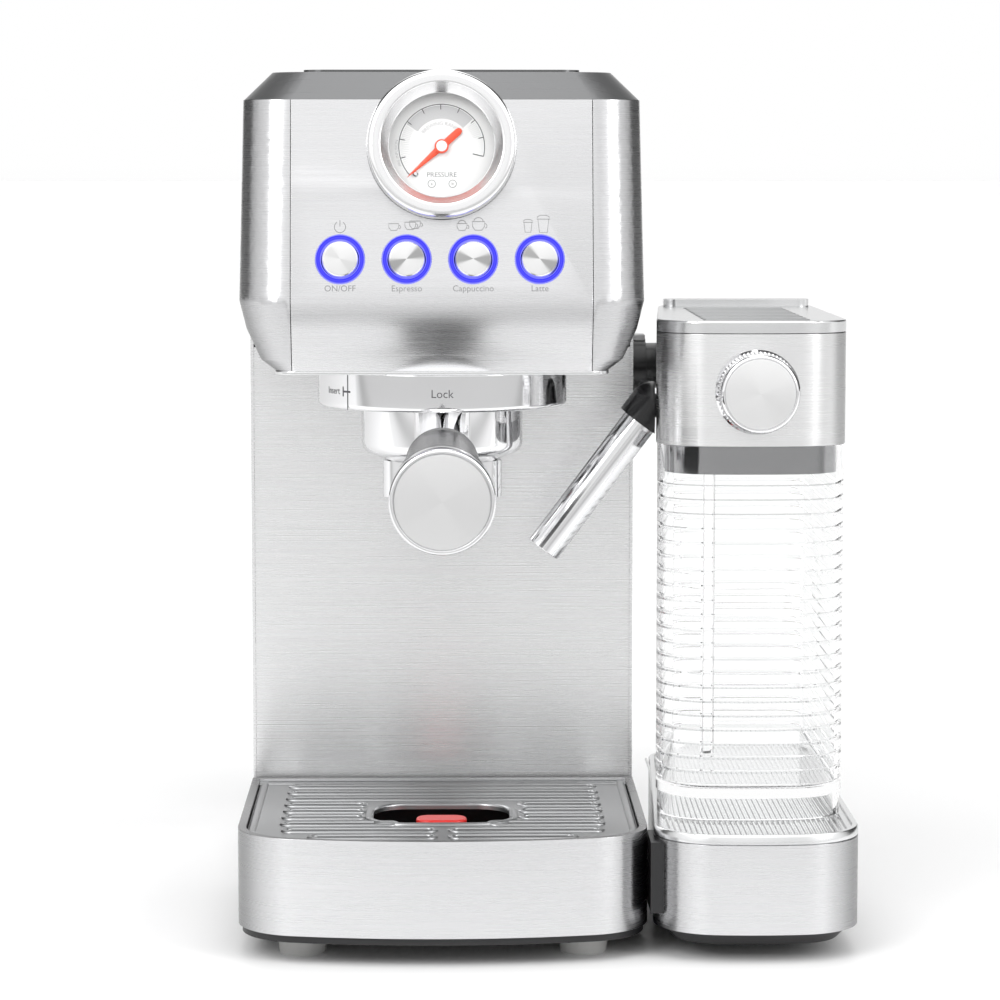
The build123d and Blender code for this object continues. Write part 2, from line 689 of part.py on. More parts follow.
with BuildPart() as water_tank_lid:
    lid_low = body_top + 0.1
    with BuildSketch(Plane.XY.offset(lid_low)) as lid_foot:
        with Locations((machine_x, (bay_front + lid_rear) / 2)):
            Rectangle(2 * half_width, lid_rear - bay_front)
        fillet(lid_foot.vertices().group_by(Axis.Y)[-1], 8.0)
    with BuildSketch(Plane.XY.offset(roof_top)) as lid_crown:
        with Locations((machine_x, (bay_front + lid_rear - 8.0) / 2)):
            Rectangle(2 * half_width - 20.0, lid_rear - 8.0 - bay_front)
        fillet(lid_crown.vertices().group_by(Axis.Y)[-1], 4.0)
    loft(ruled=True)
    with BuildSketch(Plane.XY.offset(lid_low)):
        with Locations((machine_x, (bay_front + lid_rear) / 2)):
            Rectangle(128.0, 64.0)
    extrude(amount=7.5, mode=Mode.SUBTRACT)
    for side in (-1, 1):
        with BuildSketch(Plane.YZ.offset(machine_x + side * 43.4)):
            with Locations((lid_hinge_y - 1.2, (lid_hinge_z + lid_low) / 2)):
                Rectangle(2.2, lid_low - lid_hinge_z + 0.6)
            with Locations((lid_hinge_y, lid_hinge_z)):
                Circle(2.4)
        extrude(amount=side * 4.0)
        with BuildSketch(Plane.YZ.offset(machine_x + side * 43.4)):
            with Locations((lid_hinge_y, lid_hinge_z)):
                Circle(1.55)
        extrude(amount=side * 4.0, mode=Mode.SUBTRACT)
save("water_tank_lid", water_tank_lid)

with BuildPart() as tank_valve:
    valve_profile = Plane(origin=(machine_x, back(254.0), 0), x_dir=(1, 0, 0), z_dir=(0, -1, 0))
    with BuildSketch(valve_profile):
        with BuildLine():
            Polyline((3.0, tank_bottom - 3.0), (6.0, tank_bottom - 3.0), (6.0, tank_bottom + 2.3),
                     (8.0, tank_bottom + 2.3), (8.0, tank_bottom + 6.0), (3.0, tank_bottom + 6.0), close=True)
        make_face()
    revolve(axis=Axis((machine_x, back(254.0), 0), (0, 0, 1)))
save("tank_valve", tank_valve)

# ---------------------------------------------------------------------------
# Water works inside the column and the head
# ---------------------------------------------------------------------------
with BuildPart() as pump:
    with BuildSketch(Plane.YZ.offset(machine_x - 38.0)):
        with Locations((back(174.0), 62.0)):
            Circle(19.0)
    extrude(amount=56.0)
    with BuildSketch(Plane.YZ.offset(machine_x - 50.0)):
        with Locations((back(174.0), 62.0)):
            Circle(6.0)
    extrude(amount=84.0)
    with Locations((machine_x - 10.0, back(174.0), 62.0)):
        Box(26.0, 46.0, 44.0)
save("pump", pump)

with BuildPart() as thermoblock:
    with BuildSketch(Plane.XY.offset(shelf_height + 2.0)):
        with Locations((machine_x, back(140.0))):
            RectangleRounded(84.0, 70.0, 8.0)
    extrude(amount=30.0)
    with BuildSketch(Plane.XY.offset(shelf_height + 32.0)):
        with Locations((machine_x, back(140.0))):
            with GridLocations(14.0, 0, 5, 1):
                Rectangle(3.0, 56.0)
    extrude(amount=7.0)
save("thermoblock", thermoblock)

with BuildPart() as steam_port:
    with BuildSketch(Plane.YZ.offset(machine_x + half_width)):
        with Locations((port_y, port_z)):
            Circle(11.2)
    extrude(amount=5.4)
    with BuildSketch(Plane.YZ.offset(machine_x + half_width - 8.0)):
        with Locations((port_y, port_z)):
            Circle(5.9)
    extrude(amount=8.0)
    with BuildSketch(Plane.YZ.offset(machine_x + half_width - 8.0)):
        with Locations((port_y, port_z)):
            Circle(3.0)
    extrude(amount=14.0, mode=Mode.SUBTRACT)
save("steam_port", steam_port)

# ---------------------------------------------------------------------------
# Milk unit: base, tank, head with knob and lid, and the swivelling spout
# ---------------------------------------------------------------------------
milk_base_bottom = 6.0
milk_band_bottom = 10.9
milk_band_top = 43.6
milk_skirt_inset = 2.4
milk_skirt_taper = 5.0     # the skirt under the band narrows by this much towards the floor
milk_foot_spots = [(x, y) for x in (milk_base_left + 24, milk_base_right - 20)
                   for y in (back(54.0), back(158.0))]
dock_left = machine_x + half_width + 0.5    # the block that meets the machine's side
dock_right = machine_x + 84.0
dock_front = back(16.0)
dock_rear = back(40.0)
dock_bottom = 16.3
dock_top = 42.4


def dock_block(margin=0.0):
    """The docking block; the band around it is cut out with a margin."""
    with Locations(((dock_left + dock_right) / 2, (dock_front + dock_rear) / 2,
                    (dock_bottom + dock_top) / 2)):
        return Box(dock_right - dock_left + 2 * margin, dock_rear - dock_front + 2 * margin,
                   dock_top - dock_bottom + 2 * margin, mode=Mode.SUBTRACT if margin else Mode.ADD)


with BuildPart() as milk_base_pan:
    loft(sections=[milk_base_plan(milk_base_bottom, inset=milk_skirt_inset + milk_skirt_taper),
                   milk_base_plan(milk_band_bottom, inset=milk_skirt_inset)], ruled=True)
    extrude(milk_base_plan(milk_band_bottom, inset=1.3), amount=milk_band_top - milk_band_bottom - 0.1)
    dock_block()
    extrude(milk_base_plan(12.9, inset=4.0), amount=40.0, mode=Mode.SUBTRACT)
save("milk_base_pan", milk_base_pan)

with BuildPart() as milk_feet:
    with BuildSketch():
        with Locations(*milk_foot_spots):
            Circle(7.0)
    extrude(amount=milk_base_bottom)
save("milk_feet", milk_feet)

with BuildPart() as milk_base_band:
    extrude(milk_base_plan(milk_band_bottom), amount=milk_band_top - milk_band_bottom)
    extrude(milk_base_plan(milk_band_bottom, inset=sheet), amount=40.0, mode=Mode.SUBTRACT)
    dock_block(margin=0.1)
save("milk_base_band", milk_base_band)

milk_plate = milk_band_top + 2.9
with BuildPart() as milk_base_top:
    extrude(milk_base_plan(milk_band_top), amount=3.7)
    extrude(milk_base_plan(milk_plate, inset=2.5), amount=2.0, mode=Mode.SUBTRACT)
save("milk_base_top", milk_base_top)

tank_floor = 55.6
tank_foot = milk_plate + 0.9
with BuildPart() as milk_tank:
    extrude(milk_plan(tank_floor, inset=0.4), amount=milk_housing_bottom - 0.3 - tank_floor)
    extrude(milk_plan(tank_floor + 3.0, inset=2.6), amount=200.0, mode=Mode.SUBTRACT)
    extrude(milk_plan(tank_foot, inset=0.9), amount=tank_floor - tank_foot)
    extrude(milk_plan(tank_foot, inset=3.1), amount=tank_floor - tank_foot - 0.6, mode=Mode.SUBTRACT)
save("milk_tank", milk_tank)

pickup_x = milk_left + 22.0
pickup_y = back(70.0)
plug_low = 174.7
with BuildPart() as milk_head_plug:
    extrude(milk_plan(plug_low, inset=3.2), amount=milk_housing_bottom - plug_low)
    extrude(milk_plan(plug_low + 3.0, inset=6.0), amount=40.0, mode=Mode.SUBTRACT)
    with BuildSketch(Plane.XY.offset(plug_low)):
        with Locations((pickup_x, pickup_y)):
            Circle(2.6)
    extrude(amount=3.0, mode=Mode.SUBTRACT)
save("milk_head_plug", milk_head_plug)

with BuildPart() as milk_pickup_tube:
    with BuildSketch(Plane.XY.offset(66.0)):
        with Locations((pickup_x, pickup_y)):
            Circle(2.6)
            Circle(1.6, mode=Mode.SUBTRACT)
    extrude(amount=milk_housing_bottom - 66.0)
save("milk_pickup_tube", milk_pickup_tube)

knob_x = machine_x + 114.3
knob_z = 205.1
hinge_y = milk_rear + 2.2  # the milk lid's hinge, behind the housing
hinge_z = milk_housing_top + 0.15
hinge_radius = 2.0
hinge_pin = 0.8
hinge_middle = machine_x + 118.0
hinge_half = 12.0          # half the length of the lid's own knuckle
knuckle_half = 21.0        # out to the ends of the housing's two knuckles
spout_y = back(67.0)
knob_shaft = 3.0
spout_shaft = 4.5
shaft_fit = 0.05
with BuildPart() as milk_head_housing:
    extrude(milk_plan(milk_housing_bottom), amount=milk_housing_top - milk_housing_bottom)
    extrude(milk_plan(milk_housing_bottom + 2.4, inset=2.4), amount=60.0, mode=Mode.SUBTRACT)
    with BuildSketch(Plane.XZ.offset(-milk_front + 2.0)):
        with Locations((knob_x, knob_z)):
            Circle(knob_shaft + shaft_fit)
    extrude(amount=-12.0, mode=Mode.SUBTRACT)
    with BuildSketch(Plane.YZ.offset(milk_left - 2.0)):
        with Locations((spout_y, spout_height)):
            Circle(spout_shaft + shaft_fit)
    extrude(amount=14.0, mode=Mode.SUBTRACT)
    for side in (-1, 1):
        with BuildSketch(Plane.YZ.offset(hinge_middle + side * (hinge_half + gap))):
            with Locations((hinge_y, hinge_z)):
                Circle(hinge_radius)
            with Locations((hinge_y - 1.6, milk_housing_top - 1.5)):
                Rectangle(3.2, 3.0)
        extrude(amount=side * (knuckle_half - hinge_half - gap))
    with BuildSketch(Plane.YZ.offset(hinge_middle - knuckle_half)):
        with Locations((hinge_y, hinge_z)):
            Circle(hinge_pin)
    extrude(amount=2 * knuckle_half)
save("milk_head_housing", milk_head_housing)

with BuildPart() as steam_spigot:
    with BuildSketch(Plane.YZ.offset(machine_x + half_width + 5.7)):
        with Locations((port_y, port_z)):
            Circle(9.0)
    extrude(amount=12.0)
    extrude(milk_plan(port_z - 20.0), amount=40.0, mode=Mode.SUBTRACT)
    with BuildSketch(Plane.YZ.offset(machine_x + half_width + 5.7)):
        with Locations((port_y, port_z)):
            Circle(3.0)
    extrude(amount=12.0, mode=Mode.SUBTRACT)
save("steam_spigot", steam_spigot)

with BuildPart() as milk_lid:
    extrude(milk_plan(milk_housing_top + gap), amount=4.4)
    lid_edges = milk_lid.faces().sort_by(Axis.Z)[-1].edges()
    fillet(lid_edges, 0.7)
    with BuildSketch(Plane.XY.offset(milk_housing_top + 4.0)):
        with Locations(((milk_left_rear + milk_right) / 2, milk_rear - 7.5)):
            RectangleRounded(milk_right - milk_left_rear - 3.0, 14.0, 5.0)
    extrude(amount=3.4)
    with BuildSketch(Plane.YZ.offset(hinge_middle - hinge_half)):
        with Locations((hinge_y, hinge_z)):
            Circle(hinge_radius)
        with Locations((hinge_y - 1.6, milk_housing_top + gap + 0.9)):
            Rectangle(3.2, 1.8)
        with Locations((hinge_y, hinge_z)):
            Circle(hinge_pin + shaft_fit, mode=Mode.SUBTRACT)
    extrude(amount=2 * hinge_half)
save("milk_lid", milk_lid)

with BuildPart() as milk_knob:
    knob_profile = Plane(origin=(knob_x, milk_front, knob_z), x_dir=(1, 0, 0), z_dir=(0, 0, 1))
    with BuildSketch(knob_profile):
        with BuildLine():
            Polyline((0, 8.0), (knob_shaft, 8.0), (knob_shaft, -0.5), (15.4, -0.5), (15.4, -3.2),
                     (13.2, -12.6))
            RadiusArc((13.2, -12.6), (12.2, -13.6), 1.0)
            Polyline((12.2, -13.6), (0, -13.6), (0, 8.0))
        make_face()
    revolve(axis=Axis((knob_x, 0, knob_z), (0, 1, 0)))
save("milk_knob", milk_knob)

spout_angle = radians(36.9)
spout_dir = Vector(-sin(spout_angle), 0, -cos(spout_angle))
joint_point = Vector(machine_x + 73.6, spout_y, 191.6)
spout_length = 59.5
elbow_end_x = machine_x + 79.0
with BuildPart() as spout_elbow:
    with BuildSketch(Plane(origin=joint_point, x_dir=(0, 1, 0), z_dir=-spout_dir)):
        Circle(8.7)
    extrude(amount=9.0)
    with Locations(joint_point - spout_dir * 8.0):
        Sphere(8.7)
    with Locations((elbow_end_x + 20.0, spout_y, spout_height)):
        Box(40.0, 60.0, 60.0, mode=Mode.SUBTRACT)
    with BuildSketch(Plane.YZ.offset(elbow_end_x)):
        with Locations((spout_y, spout_height)):
            Circle(spout_shaft)
    extrude(amount=5.0)
save("spout_elbow", spout_elbow)

with BuildPart() as spout_tube:
    with BuildSketch(Plane(origin=joint_point, x_dir=(0, 1, 0), z_dir=spout_dir)):
        Circle(6.5)
        Circle(5.4, mode=Mode.SUBTRACT)
    extrude(amount=spout_length)
save("spout_tube", spout_tube)
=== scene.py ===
# %% [markdown]
# # An espresso machine with a docked milk unit
#
# The machine's frame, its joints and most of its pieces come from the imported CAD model. This lesson dresses
# them: every piece gets the metal, plastic or glass it is made of, and new meshes are built where the real
# piece has detail that a CAD solid leaves out. Those are the pressed grille, the ribbed milk tank, the
# knurled knob, the gauge's printed face, the lit buttons and the printed labels.

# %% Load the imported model
import json

import bmesh
import bpy
import numpy as np
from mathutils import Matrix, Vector


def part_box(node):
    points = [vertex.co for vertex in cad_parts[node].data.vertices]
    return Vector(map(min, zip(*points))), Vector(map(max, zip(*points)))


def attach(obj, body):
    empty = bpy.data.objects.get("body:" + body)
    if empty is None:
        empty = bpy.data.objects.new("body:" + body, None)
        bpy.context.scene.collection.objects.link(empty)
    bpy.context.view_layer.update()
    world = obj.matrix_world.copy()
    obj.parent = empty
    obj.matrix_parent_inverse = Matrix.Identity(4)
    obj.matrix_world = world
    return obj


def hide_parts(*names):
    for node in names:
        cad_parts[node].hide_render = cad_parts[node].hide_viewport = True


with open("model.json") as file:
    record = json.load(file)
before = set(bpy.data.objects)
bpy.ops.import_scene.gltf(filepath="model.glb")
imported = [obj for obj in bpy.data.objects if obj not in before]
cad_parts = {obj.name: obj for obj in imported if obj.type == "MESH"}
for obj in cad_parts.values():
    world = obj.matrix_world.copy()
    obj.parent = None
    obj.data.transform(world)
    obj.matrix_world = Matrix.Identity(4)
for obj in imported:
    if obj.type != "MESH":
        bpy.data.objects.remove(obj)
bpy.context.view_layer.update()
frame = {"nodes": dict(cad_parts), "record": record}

nodes = frame["nodes"]
MM = 0.001


def box_of(node):
    """The low and high corners of a CAD piece's box, as arrays."""
    return [np.array(corner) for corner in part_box(node)]


# %% [markdown]
# ## Places that everything else is measured from
#
# The machine stands left of the origin and the milk unit right of it. The sloping front of the head is a
# plane of its own: the gauge, the buttons and their labels all lie on it. It is worked out once, from the
# front panel's box and the two sizes that its crease adds.

# %% Reference planes
tray_low, tray_high = box_of("drip_tray_front")
panel_low, panel_high = box_of("head_front_panel")
middle_x = (tray_low[0] + tray_high[0]) / 2
tray_front_y = tray_low[1]
crease_up = 25.3 * MM       # from the head's bottom edge to the crease across its front
panel_lean = 12.0 * MM      # how far the top of the slope lies behind the crease
crease_z = panel_low[2] + crease_up
crease = np.array([middle_x, panel_low[1], crease_z])
slope_up = np.array([0.0, panel_lean, panel_high[2] - crease_z])
slope_up = slope_up / np.linalg.norm(slope_up)
slope_out = np.array([0.0, -slope_up[2], slope_up[1]])
right = np.array([1.0, 0.0, 0.0])
gauge_up = 56.5             # millimetres up the slope, as are the next three
icon_up = 27.4
button_up = 15.4
label_up = 4.8
button_across = [-36.4, -12.6, 11.2, 35.0]
panel_angle = float(np.degrees(np.arctan2(slope_up[1], slope_up[2])))
print("the panel leans back by", round(panel_angle, 2), "degrees")


def on_panel(across, up, out=0.0):
    """Points on the sloping panel: steps in millimetres right of the middle, up the slope and out of it.

    point = crease + across * right + up * slope_up + out * slope_out, for single numbers or whole arrays.
    """
    across, up, out = np.broadcast_arrays(across, up, out)
    steps = across[..., None] * right + up[..., None] * slope_up + out[..., None] * slope_out
    return crease + steps * MM


# %% [markdown]
# ## Camera
#
# The machine is seen from a little above the cups' height with a long lens, so its uprights stay straight.
# The view is turned slightly to the right so that the milk unit is in the picture.

# %% Camera at the viewing angle
camera_data = bpy.data.cameras.new("camera")
camera_data.lens = 122.4
camera_data.sensor_width = 36.0
camera_data.clip_end = 100.0
camera = bpy.data.objects.new("camera", camera_data)
bpy.context.scene.collection.objects.link(camera)
camera_distance = 1.198
camera_height = 0.287
camera.location = (middle_x, tray_front_y - camera_distance, camera_height)
look_down = np.radians(5.627)
look_right = np.radians(0.977)
camera.rotation_euler = (np.pi / 2 - look_down, 0.0, -look_right)
bpy.context.scene.camera = camera
bpy.context.scene.view_settings.view_transform = "Standard"
print("camera at", [round(v, 4) for v in camera.location])

# %% [markdown]
# ## Small tools for shader trees
#
# Materials are built from a few kinds of node over and over, so short functions add a sum, a colour ramp or
# a group's named sockets in one line each.

# %% Shader tree tools
def calculate(tree, operation, first, second=0.0, third=0.0):
    """The result of a Math node; each operand is either a socket to read or a plain number."""
    node = tree.nodes.new("ShaderNodeMath")
    node.operation = operation
    for slot, operand in zip(node.inputs, (first, second, third)):
        if isinstance(operand, bpy.types.NodeSocket):
            tree.links.new(operand, slot)
        else:
            slot.default_value = operand
    return node.outputs[0]


def ramp(tree, factor, stops, smooth=False):
    """A colour that runs through (position, grey or colour) stops as the factor goes from 0 to 1."""
    node = tree.nodes.new("ShaderNodeValToRGB")
    node.color_ramp.interpolation = "EASE" if smooth else "LINEAR"
    while len(node.color_ramp.elements) < len(stops):
        node.color_ramp.elements.new(0.5)
    for element, (position, value) in zip(node.color_ramp.elements, stops):
        element.position = position
        element.color = (*value, 1.0) if isinstance(value, tuple) else (value, value, value, 1.0)
    tree.links.new(factor, node.inputs[0])
    return node.outputs[0]


def add_group(tree, group, **values):
    """One use of a node group, with its named inputs set; underscores stand for spaces."""
    node = tree.nodes.new("ShaderNodeGroup")
    node.node_tree = group
    for key, value in values.items():
        node.inputs[key.replace("_", " ").title()].default_value = value
    return node


def new_group(name, inputs, outputs):
    """An empty shader group with its sockets; returns the tree and its input and output nodes."""
    group = bpy.data.node_groups.new(name, "ShaderNodeTree")
    for socket, kind, value in inputs:
        made = group.interface.new_socket(name=socket, in_out="INPUT", socket_type=kind)
        made.default_value = value
    for socket, kind in outputs:
        group.interface.new_socket(name=socket, in_out="OUTPUT", socket_type=kind)
    return group, group.nodes.new("NodeGroupInput"), group.nodes.new("NodeGroupOutput")


def new_material(name, color, metallic=0.0, roughness=0.5):
    """A Principled material with constants on the shader's own sockets; returns it with its shader."""
    material = bpy.data.materials.new(name)
    material.use_nodes = True
    shader = material.node_tree.nodes["Principled BSDF"]
    shader.inputs["Base Color"].default_value = (*color, 1.0)
    shader.inputs["Metallic"].default_value = metallic
    shader.inputs["Roughness"].default_value = roughness
    return material, shader


# %% [markdown]
# ## The surround
#
# Polished metal shows its room, so the room is half of the finish. It is pale all round, brighter
# overhead, and has two dark openings at the sides, behind the machine. Rounded steel corners pick those up
# as the upright dark bands that tell the eye that they are round.

# %% Pale room with two dark openings
world = bpy.data.worlds.new("studio")
bpy.context.scene.world = world
world.use_nodes = True
sky = world.node_tree
sky.nodes.clear()
direction = sky.nodes.new("ShaderNodeTexCoord")
split = sky.nodes.new("ShaderNodeSeparateXYZ")
sky.links.new(direction.outputs["Generated"], split.inputs[0])
height_share = calculate(sky, "MULTIPLY_ADD", split.outputs["Z"], 0.5, 0.5)
by_height = ramp(sky, height_share, [(0.0, 0.5), (0.46, 0.8), (0.5, 1.0), (0.58, 1.0), (0.72, 1.0),
                                     (0.82, 1.6), (1.0, 2.2)])
# The turn runs from 0 straight ahead of the machine to 1 straight behind it, alike on both sides.
turn = calculate(sky, "ARCTAN2", calculate(sky, "ABSOLUTE", split.outputs["X"]),
                 calculate(sky, "MULTIPLY", split.outputs["Y"], -1.0))
turn = calculate(sky, "DIVIDE", turn, np.pi)
by_turn = ramp(sky, turn, [(0.0, 0.98), (0.10, 0.85), (0.22, 1.1), (0.45, 1.0), (0.56, 0.7),
                           (0.62, 0.04), (0.84, 0.08), (0.90, 1.0)], smooth=True)
mixed = sky.nodes.new("ShaderNodeMix")
mixed.data_type = "RGBA"
mixed.blend_type = "MULTIPLY"
mixed.inputs["Factor"].default_value = 1.0
sky.links.new(by_height, mixed.inputs["A"])
sky.links.new(by_turn, mixed.inputs["B"])
background = sky.nodes.new("ShaderNodeBackground")
sky.links.new(mixed.outputs["Result"], background.inputs["Color"])
world_out = sky.nodes.new("ShaderNodeOutputWorld")
sky.links.new(background.outputs[0], world_out.inputs[0])

# %% [markdown]
# ## Meshes from arrays
#
# Every new shape is a grid of points: an outline swept through a profile, or a profile turned around an
# axis. NumPy works out all the points at once, and one function turns a grid into quads. The grid's faces
# are made to point outwards when the shape is closed.

# %% From grids to meshes
def link_object(name, mesh):
    """A new object at the origin that shows the mesh."""
    piece = bpy.data.objects.new(name, mesh)
    bpy.context.scene.collection.objects.link(piece)
    return piece


def mesh_from(name, parts, smooth_angle=30.0, outward=True):
    """One mesh from (points, faces) parts, with double points merged and shaded smooth under an angle."""
    mesh = bpy.data.meshes.new(name)
    points, faces, count = [], [], 0
    for part_points, part_faces in parts:
        flat_points = np.asarray(part_points, float).reshape(-1, 3)
        points.append(flat_points)
        rows = part_faces.tolist() if isinstance(part_faces, np.ndarray) else part_faces
        faces.extend([[corner + count for corner in face] for face in rows])
        count += len(flat_points)
    mesh.from_pydata(np.concatenate(points).tolist(), [], faces)
    work = bmesh.new()
    work.from_mesh(mesh)
    bmesh.ops.remove_doubles(work, verts=work.verts, dist=1e-6)
    bmesh.ops.dissolve_degenerate(work, edges=work.edges, dist=1e-7)
    if outward:
        bmesh.ops.recalc_face_normals(work, faces=work.faces)
    work.to_mesh(mesh)
    work.free()
    mesh.shade_smooth()
    mesh.set_sharp_from_angle(angle=np.radians(smooth_angle))
    return mesh


def grid_faces(rows, columns, wrap=False, caps=False):
    """The quads of a grid of points numbered row by row; wrapping joins its last column to its first.

    Quad (i, j) joins points (i, j), (i, j+1), (i+1, j+1) and (i+1, j). Caps close the first and last rows.
    """
    i, j = np.meshgrid(np.arange(rows - 1), np.arange(columns if wrap else columns - 1), indexing="ij")
    beside = (j + 1) % columns
    this_row, next_row = i * columns, (i + 1) * columns
    quads = np.stack([this_row + j, this_row + beside, next_row + beside, next_row + j], axis=-1)
    quads = quads.reshape(-1, 4).tolist()
    if caps:
        quads.append(list(range(columns))[::-1])
        quads.append(list(range((rows - 1) * columns, rows * columns)))
    return quads


def swept(outline, profile, caps=True):
    """An outline swept through a profile of (outward step, height) rows, as a closed part.

    point(i, j) = (outline point j + outline normal j * step i, height i)
    """
    points, normals = outline
    steps, heights = np.asarray(profile, float).T
    plan = points[None] + normals[None] * steps[:, None, None]
    height = np.broadcast_to(heights[:, None, None], (*plan.shape[:2], 1))
    return np.concatenate([plan, height], axis=-1), grid_faces(len(steps), len(points), wrap=True, caps=caps)


def turned(profile, origin, axis, start, sides=96, ripple=0):
    """A profile of (radius, distance along the axis) rows, turned around the axis, as a part.

    point(i, j) = origin + axis * distance i + radius i * (cos t_j * start + sin t_j * across). A row may
    carry a third number, the depth of a ripple that repeats the given number of times around.
    """
    profile = np.asarray([(*row, 0.0)[:3] for row in profile], float)
    t = np.linspace(0, 2 * np.pi, sides, endpoint=False)
    across = np.cross(axis, start)
    radii = profile[:, :1] + profile[:, 2:] * np.cos(ripple * t)[None]
    around = np.cos(t)[:, None] * np.asarray(start) + np.sin(t)[:, None] * across
    along_axis = profile[:, 1, None, None] * np.asarray(axis)
    points = np.asarray(origin) + radii[..., None] * around[None] + along_axis
    return points, grid_faces(len(profile), sides, wrap=True)


# %% [markdown]
# ## Outlines with rounded corners
#
# The tray, the milk unit and its base share one kind of plan: straight sides, a front that bows gently
# outwards, and rounded corners. Each corner is an arc that touches both of its neighbours. At the front
# the arc sits inside the bow's big circle, so its centre lies where the side, moved in by the corner
# radius, meets a circle smaller than the bow by that same radius.

# %% Bowed and rounded outlines
def arc_points(centre, radius, start, end, steps):
    """Points and outward normals of an arc between two angles in degrees."""
    t = np.radians(np.linspace(start, end, steps))
    normals = np.stack([np.cos(t), np.sin(t)], axis=-1)
    return np.asarray(centre) + radius * normals, normals


def joined(arcs):
    """Several arcs as one outline of points and normals."""
    return tuple(np.concatenate(rows) for rows in zip(*arcs))


def rounded_box(centre, width, depth, radius, steps=8):
    """A rectangle with rounded corners, anticlockwise; with a radius of half its depth it is a slot."""
    dx, dy = width / 2 - radius, depth / 2 - radius
    corners = [(dx, dy, 0), (-dx, dy, 90), (-dx, -dy, 180), (dx, -dy, 270)]
    return joined([arc_points((centre[0] + x, centre[1] + y), radius, start, start + 90, steps)
                   for x, y, start in corners])


def bowed_box(left, right_side, front, rear, bow, corner, rear_corner, left_rear=None):
    """The bowed outline, anticlockwise from the rear right corner; the left side may lean to left_rear."""
    middle = (left + right_side) / 2
    big = ((middle - left) ** 2 + bow ** 2) / (2 * bow)
    centre = np.array([middle, front + big])
    left_rear = left if left_rear is None else left_rear
    lean = np.degrees(np.arctan2(left_rear - left, rear - front - bow))
    left_normal = np.array([-np.cos(np.radians(lean)), np.sin(np.radians(lean))])
    side_start = np.array([left, front + bow])

    def front_corner(start, normal):
        along = np.array([normal[1], -normal[0]])
        offset = start - normal * corner - centre
        half_b = offset @ along
        root = np.sqrt(half_b ** 2 - offset @ offset + (big - corner) ** 2)
        spots = [centre + offset + along * (-half_b + sign * root) for sign in (-1, 1)]
        return min(spots, key=lambda spot: spot[1])

    front_left = front_corner(side_start, left_normal)
    front_right = front_corner(np.array([right_side, front + bow]), np.array([1.0, 0.0]))
    low_left = np.degrees(np.arctan2(*(front_left - centre)[::-1])) % 360
    low_right = np.degrees(np.arctan2(*(front_right - centre)[::-1])) % 360
    rear_left_x = left_rear + rear_corner * (1 - np.sin(np.radians(lean))) / np.cos(np.radians(lean))
    return joined([arc_points((right_side - rear_corner, rear - rear_corner), rear_corner, 0, 90, 10),
                   arc_points((rear_left_x, rear - rear_corner), rear_corner, 90, 180 - lean, 10),
                   arc_points(front_left, corner, 180 - lean, low_left, 20),
                   arc_points(centre, big, low_left, low_right, 24),
                   arc_points(front_right, corner, low_right, 360, 20)])


def side_limits(outline, y):
    """The least and greatest X of an outline at each given Y."""
    points = outline[0]
    middle = (points[:, 0].min() + points[:, 0].max()) / 2
    halves = []
    for keep in (points[:, 0] <= middle, points[:, 0] >= middle):
        half = points[keep]
        order = np.argsort(half[:, 1])
        halves.append(np.interp(y, half[order, 1], half[order, 0]))
    return halves


# %% [markdown]
# ## Floor and lamps
#
# A very large pale floor runs to the horizon, so no edge shows in a polished surface. Its colour is painted
# darker towards the viewer, out of the picture: a painted shade that the steel bands mirror as a grey against
# the white. Two large soft boxes stand at the left and right; the light from above is the room's own bright
# ceiling.

# %% Floor and soft boxes
floor_reach = 60.0
floor_corners = floor_reach * np.array([[-1, -1, 0], [1, -1, 0], [1, 1, 0], [-1, 1, 0]])
floor = link_object("floor", mesh_from("floor", [(floor_corners, [[0, 1, 2, 3]])], outward=False))
floor_paint, floor_shader = new_material("pale_floor", (0.86, 0.86, 0.86), roughness=0.7)
floor_tree = floor_paint.node_tree
floor_place = floor_tree.nodes.new("ShaderNodeTexCoord")
floor_split = floor_tree.nodes.new("ShaderNodeSeparateXYZ")
floor_tree.links.new(floor_place.outputs["Object"], floor_split.inputs[0])
# Painted shade on the floor: its colour darkens from here towards the viewer.
painted_shade_from = 0.22          # metres ahead of the origin
ahead = calculate(floor_tree, "MULTIPLY_ADD", floor_split.outputs["Y"], -1.0, -painted_shade_from)
floor_stops = [(0.0, 0.90), (0.15, 0.66), (0.5, 0.34), (1.0, 0.50)]
floor_tone = ramp(floor_tree, ahead, floor_stops, smooth=True)
floor_tree.links.new(floor_tone, floor_shader.inputs["Base Color"])
floor.data.materials.append(floor_paint)


def soft_box(name, place, target, width, height, power):
    """A rectangular lamp at a place, aimed at a target; sizes in metres and power in watts."""
    data = bpy.data.lights.new(name, "AREA")
    data.shape = "RECTANGLE"
    data.size = width
    data.size_y = height
    data.energy = power
    lamp = bpy.data.objects.new(name, data)
    bpy.context.scene.collection.objects.link(lamp)
    lamp.location = place
    lamp.rotation_euler = (Vector(target) - Vector(place)).to_track_quat("-Z", "Y").to_euler()


aim = (middle_x, 0.0, 0.15)
soft_box("key_left", (-1.3, -1.5, 1.5), aim, 1.0, 1.2, 14.0)
soft_box("fill_right", (1.5, -1.1, 1.1), aim, 0.6, 1.2, 8.0)
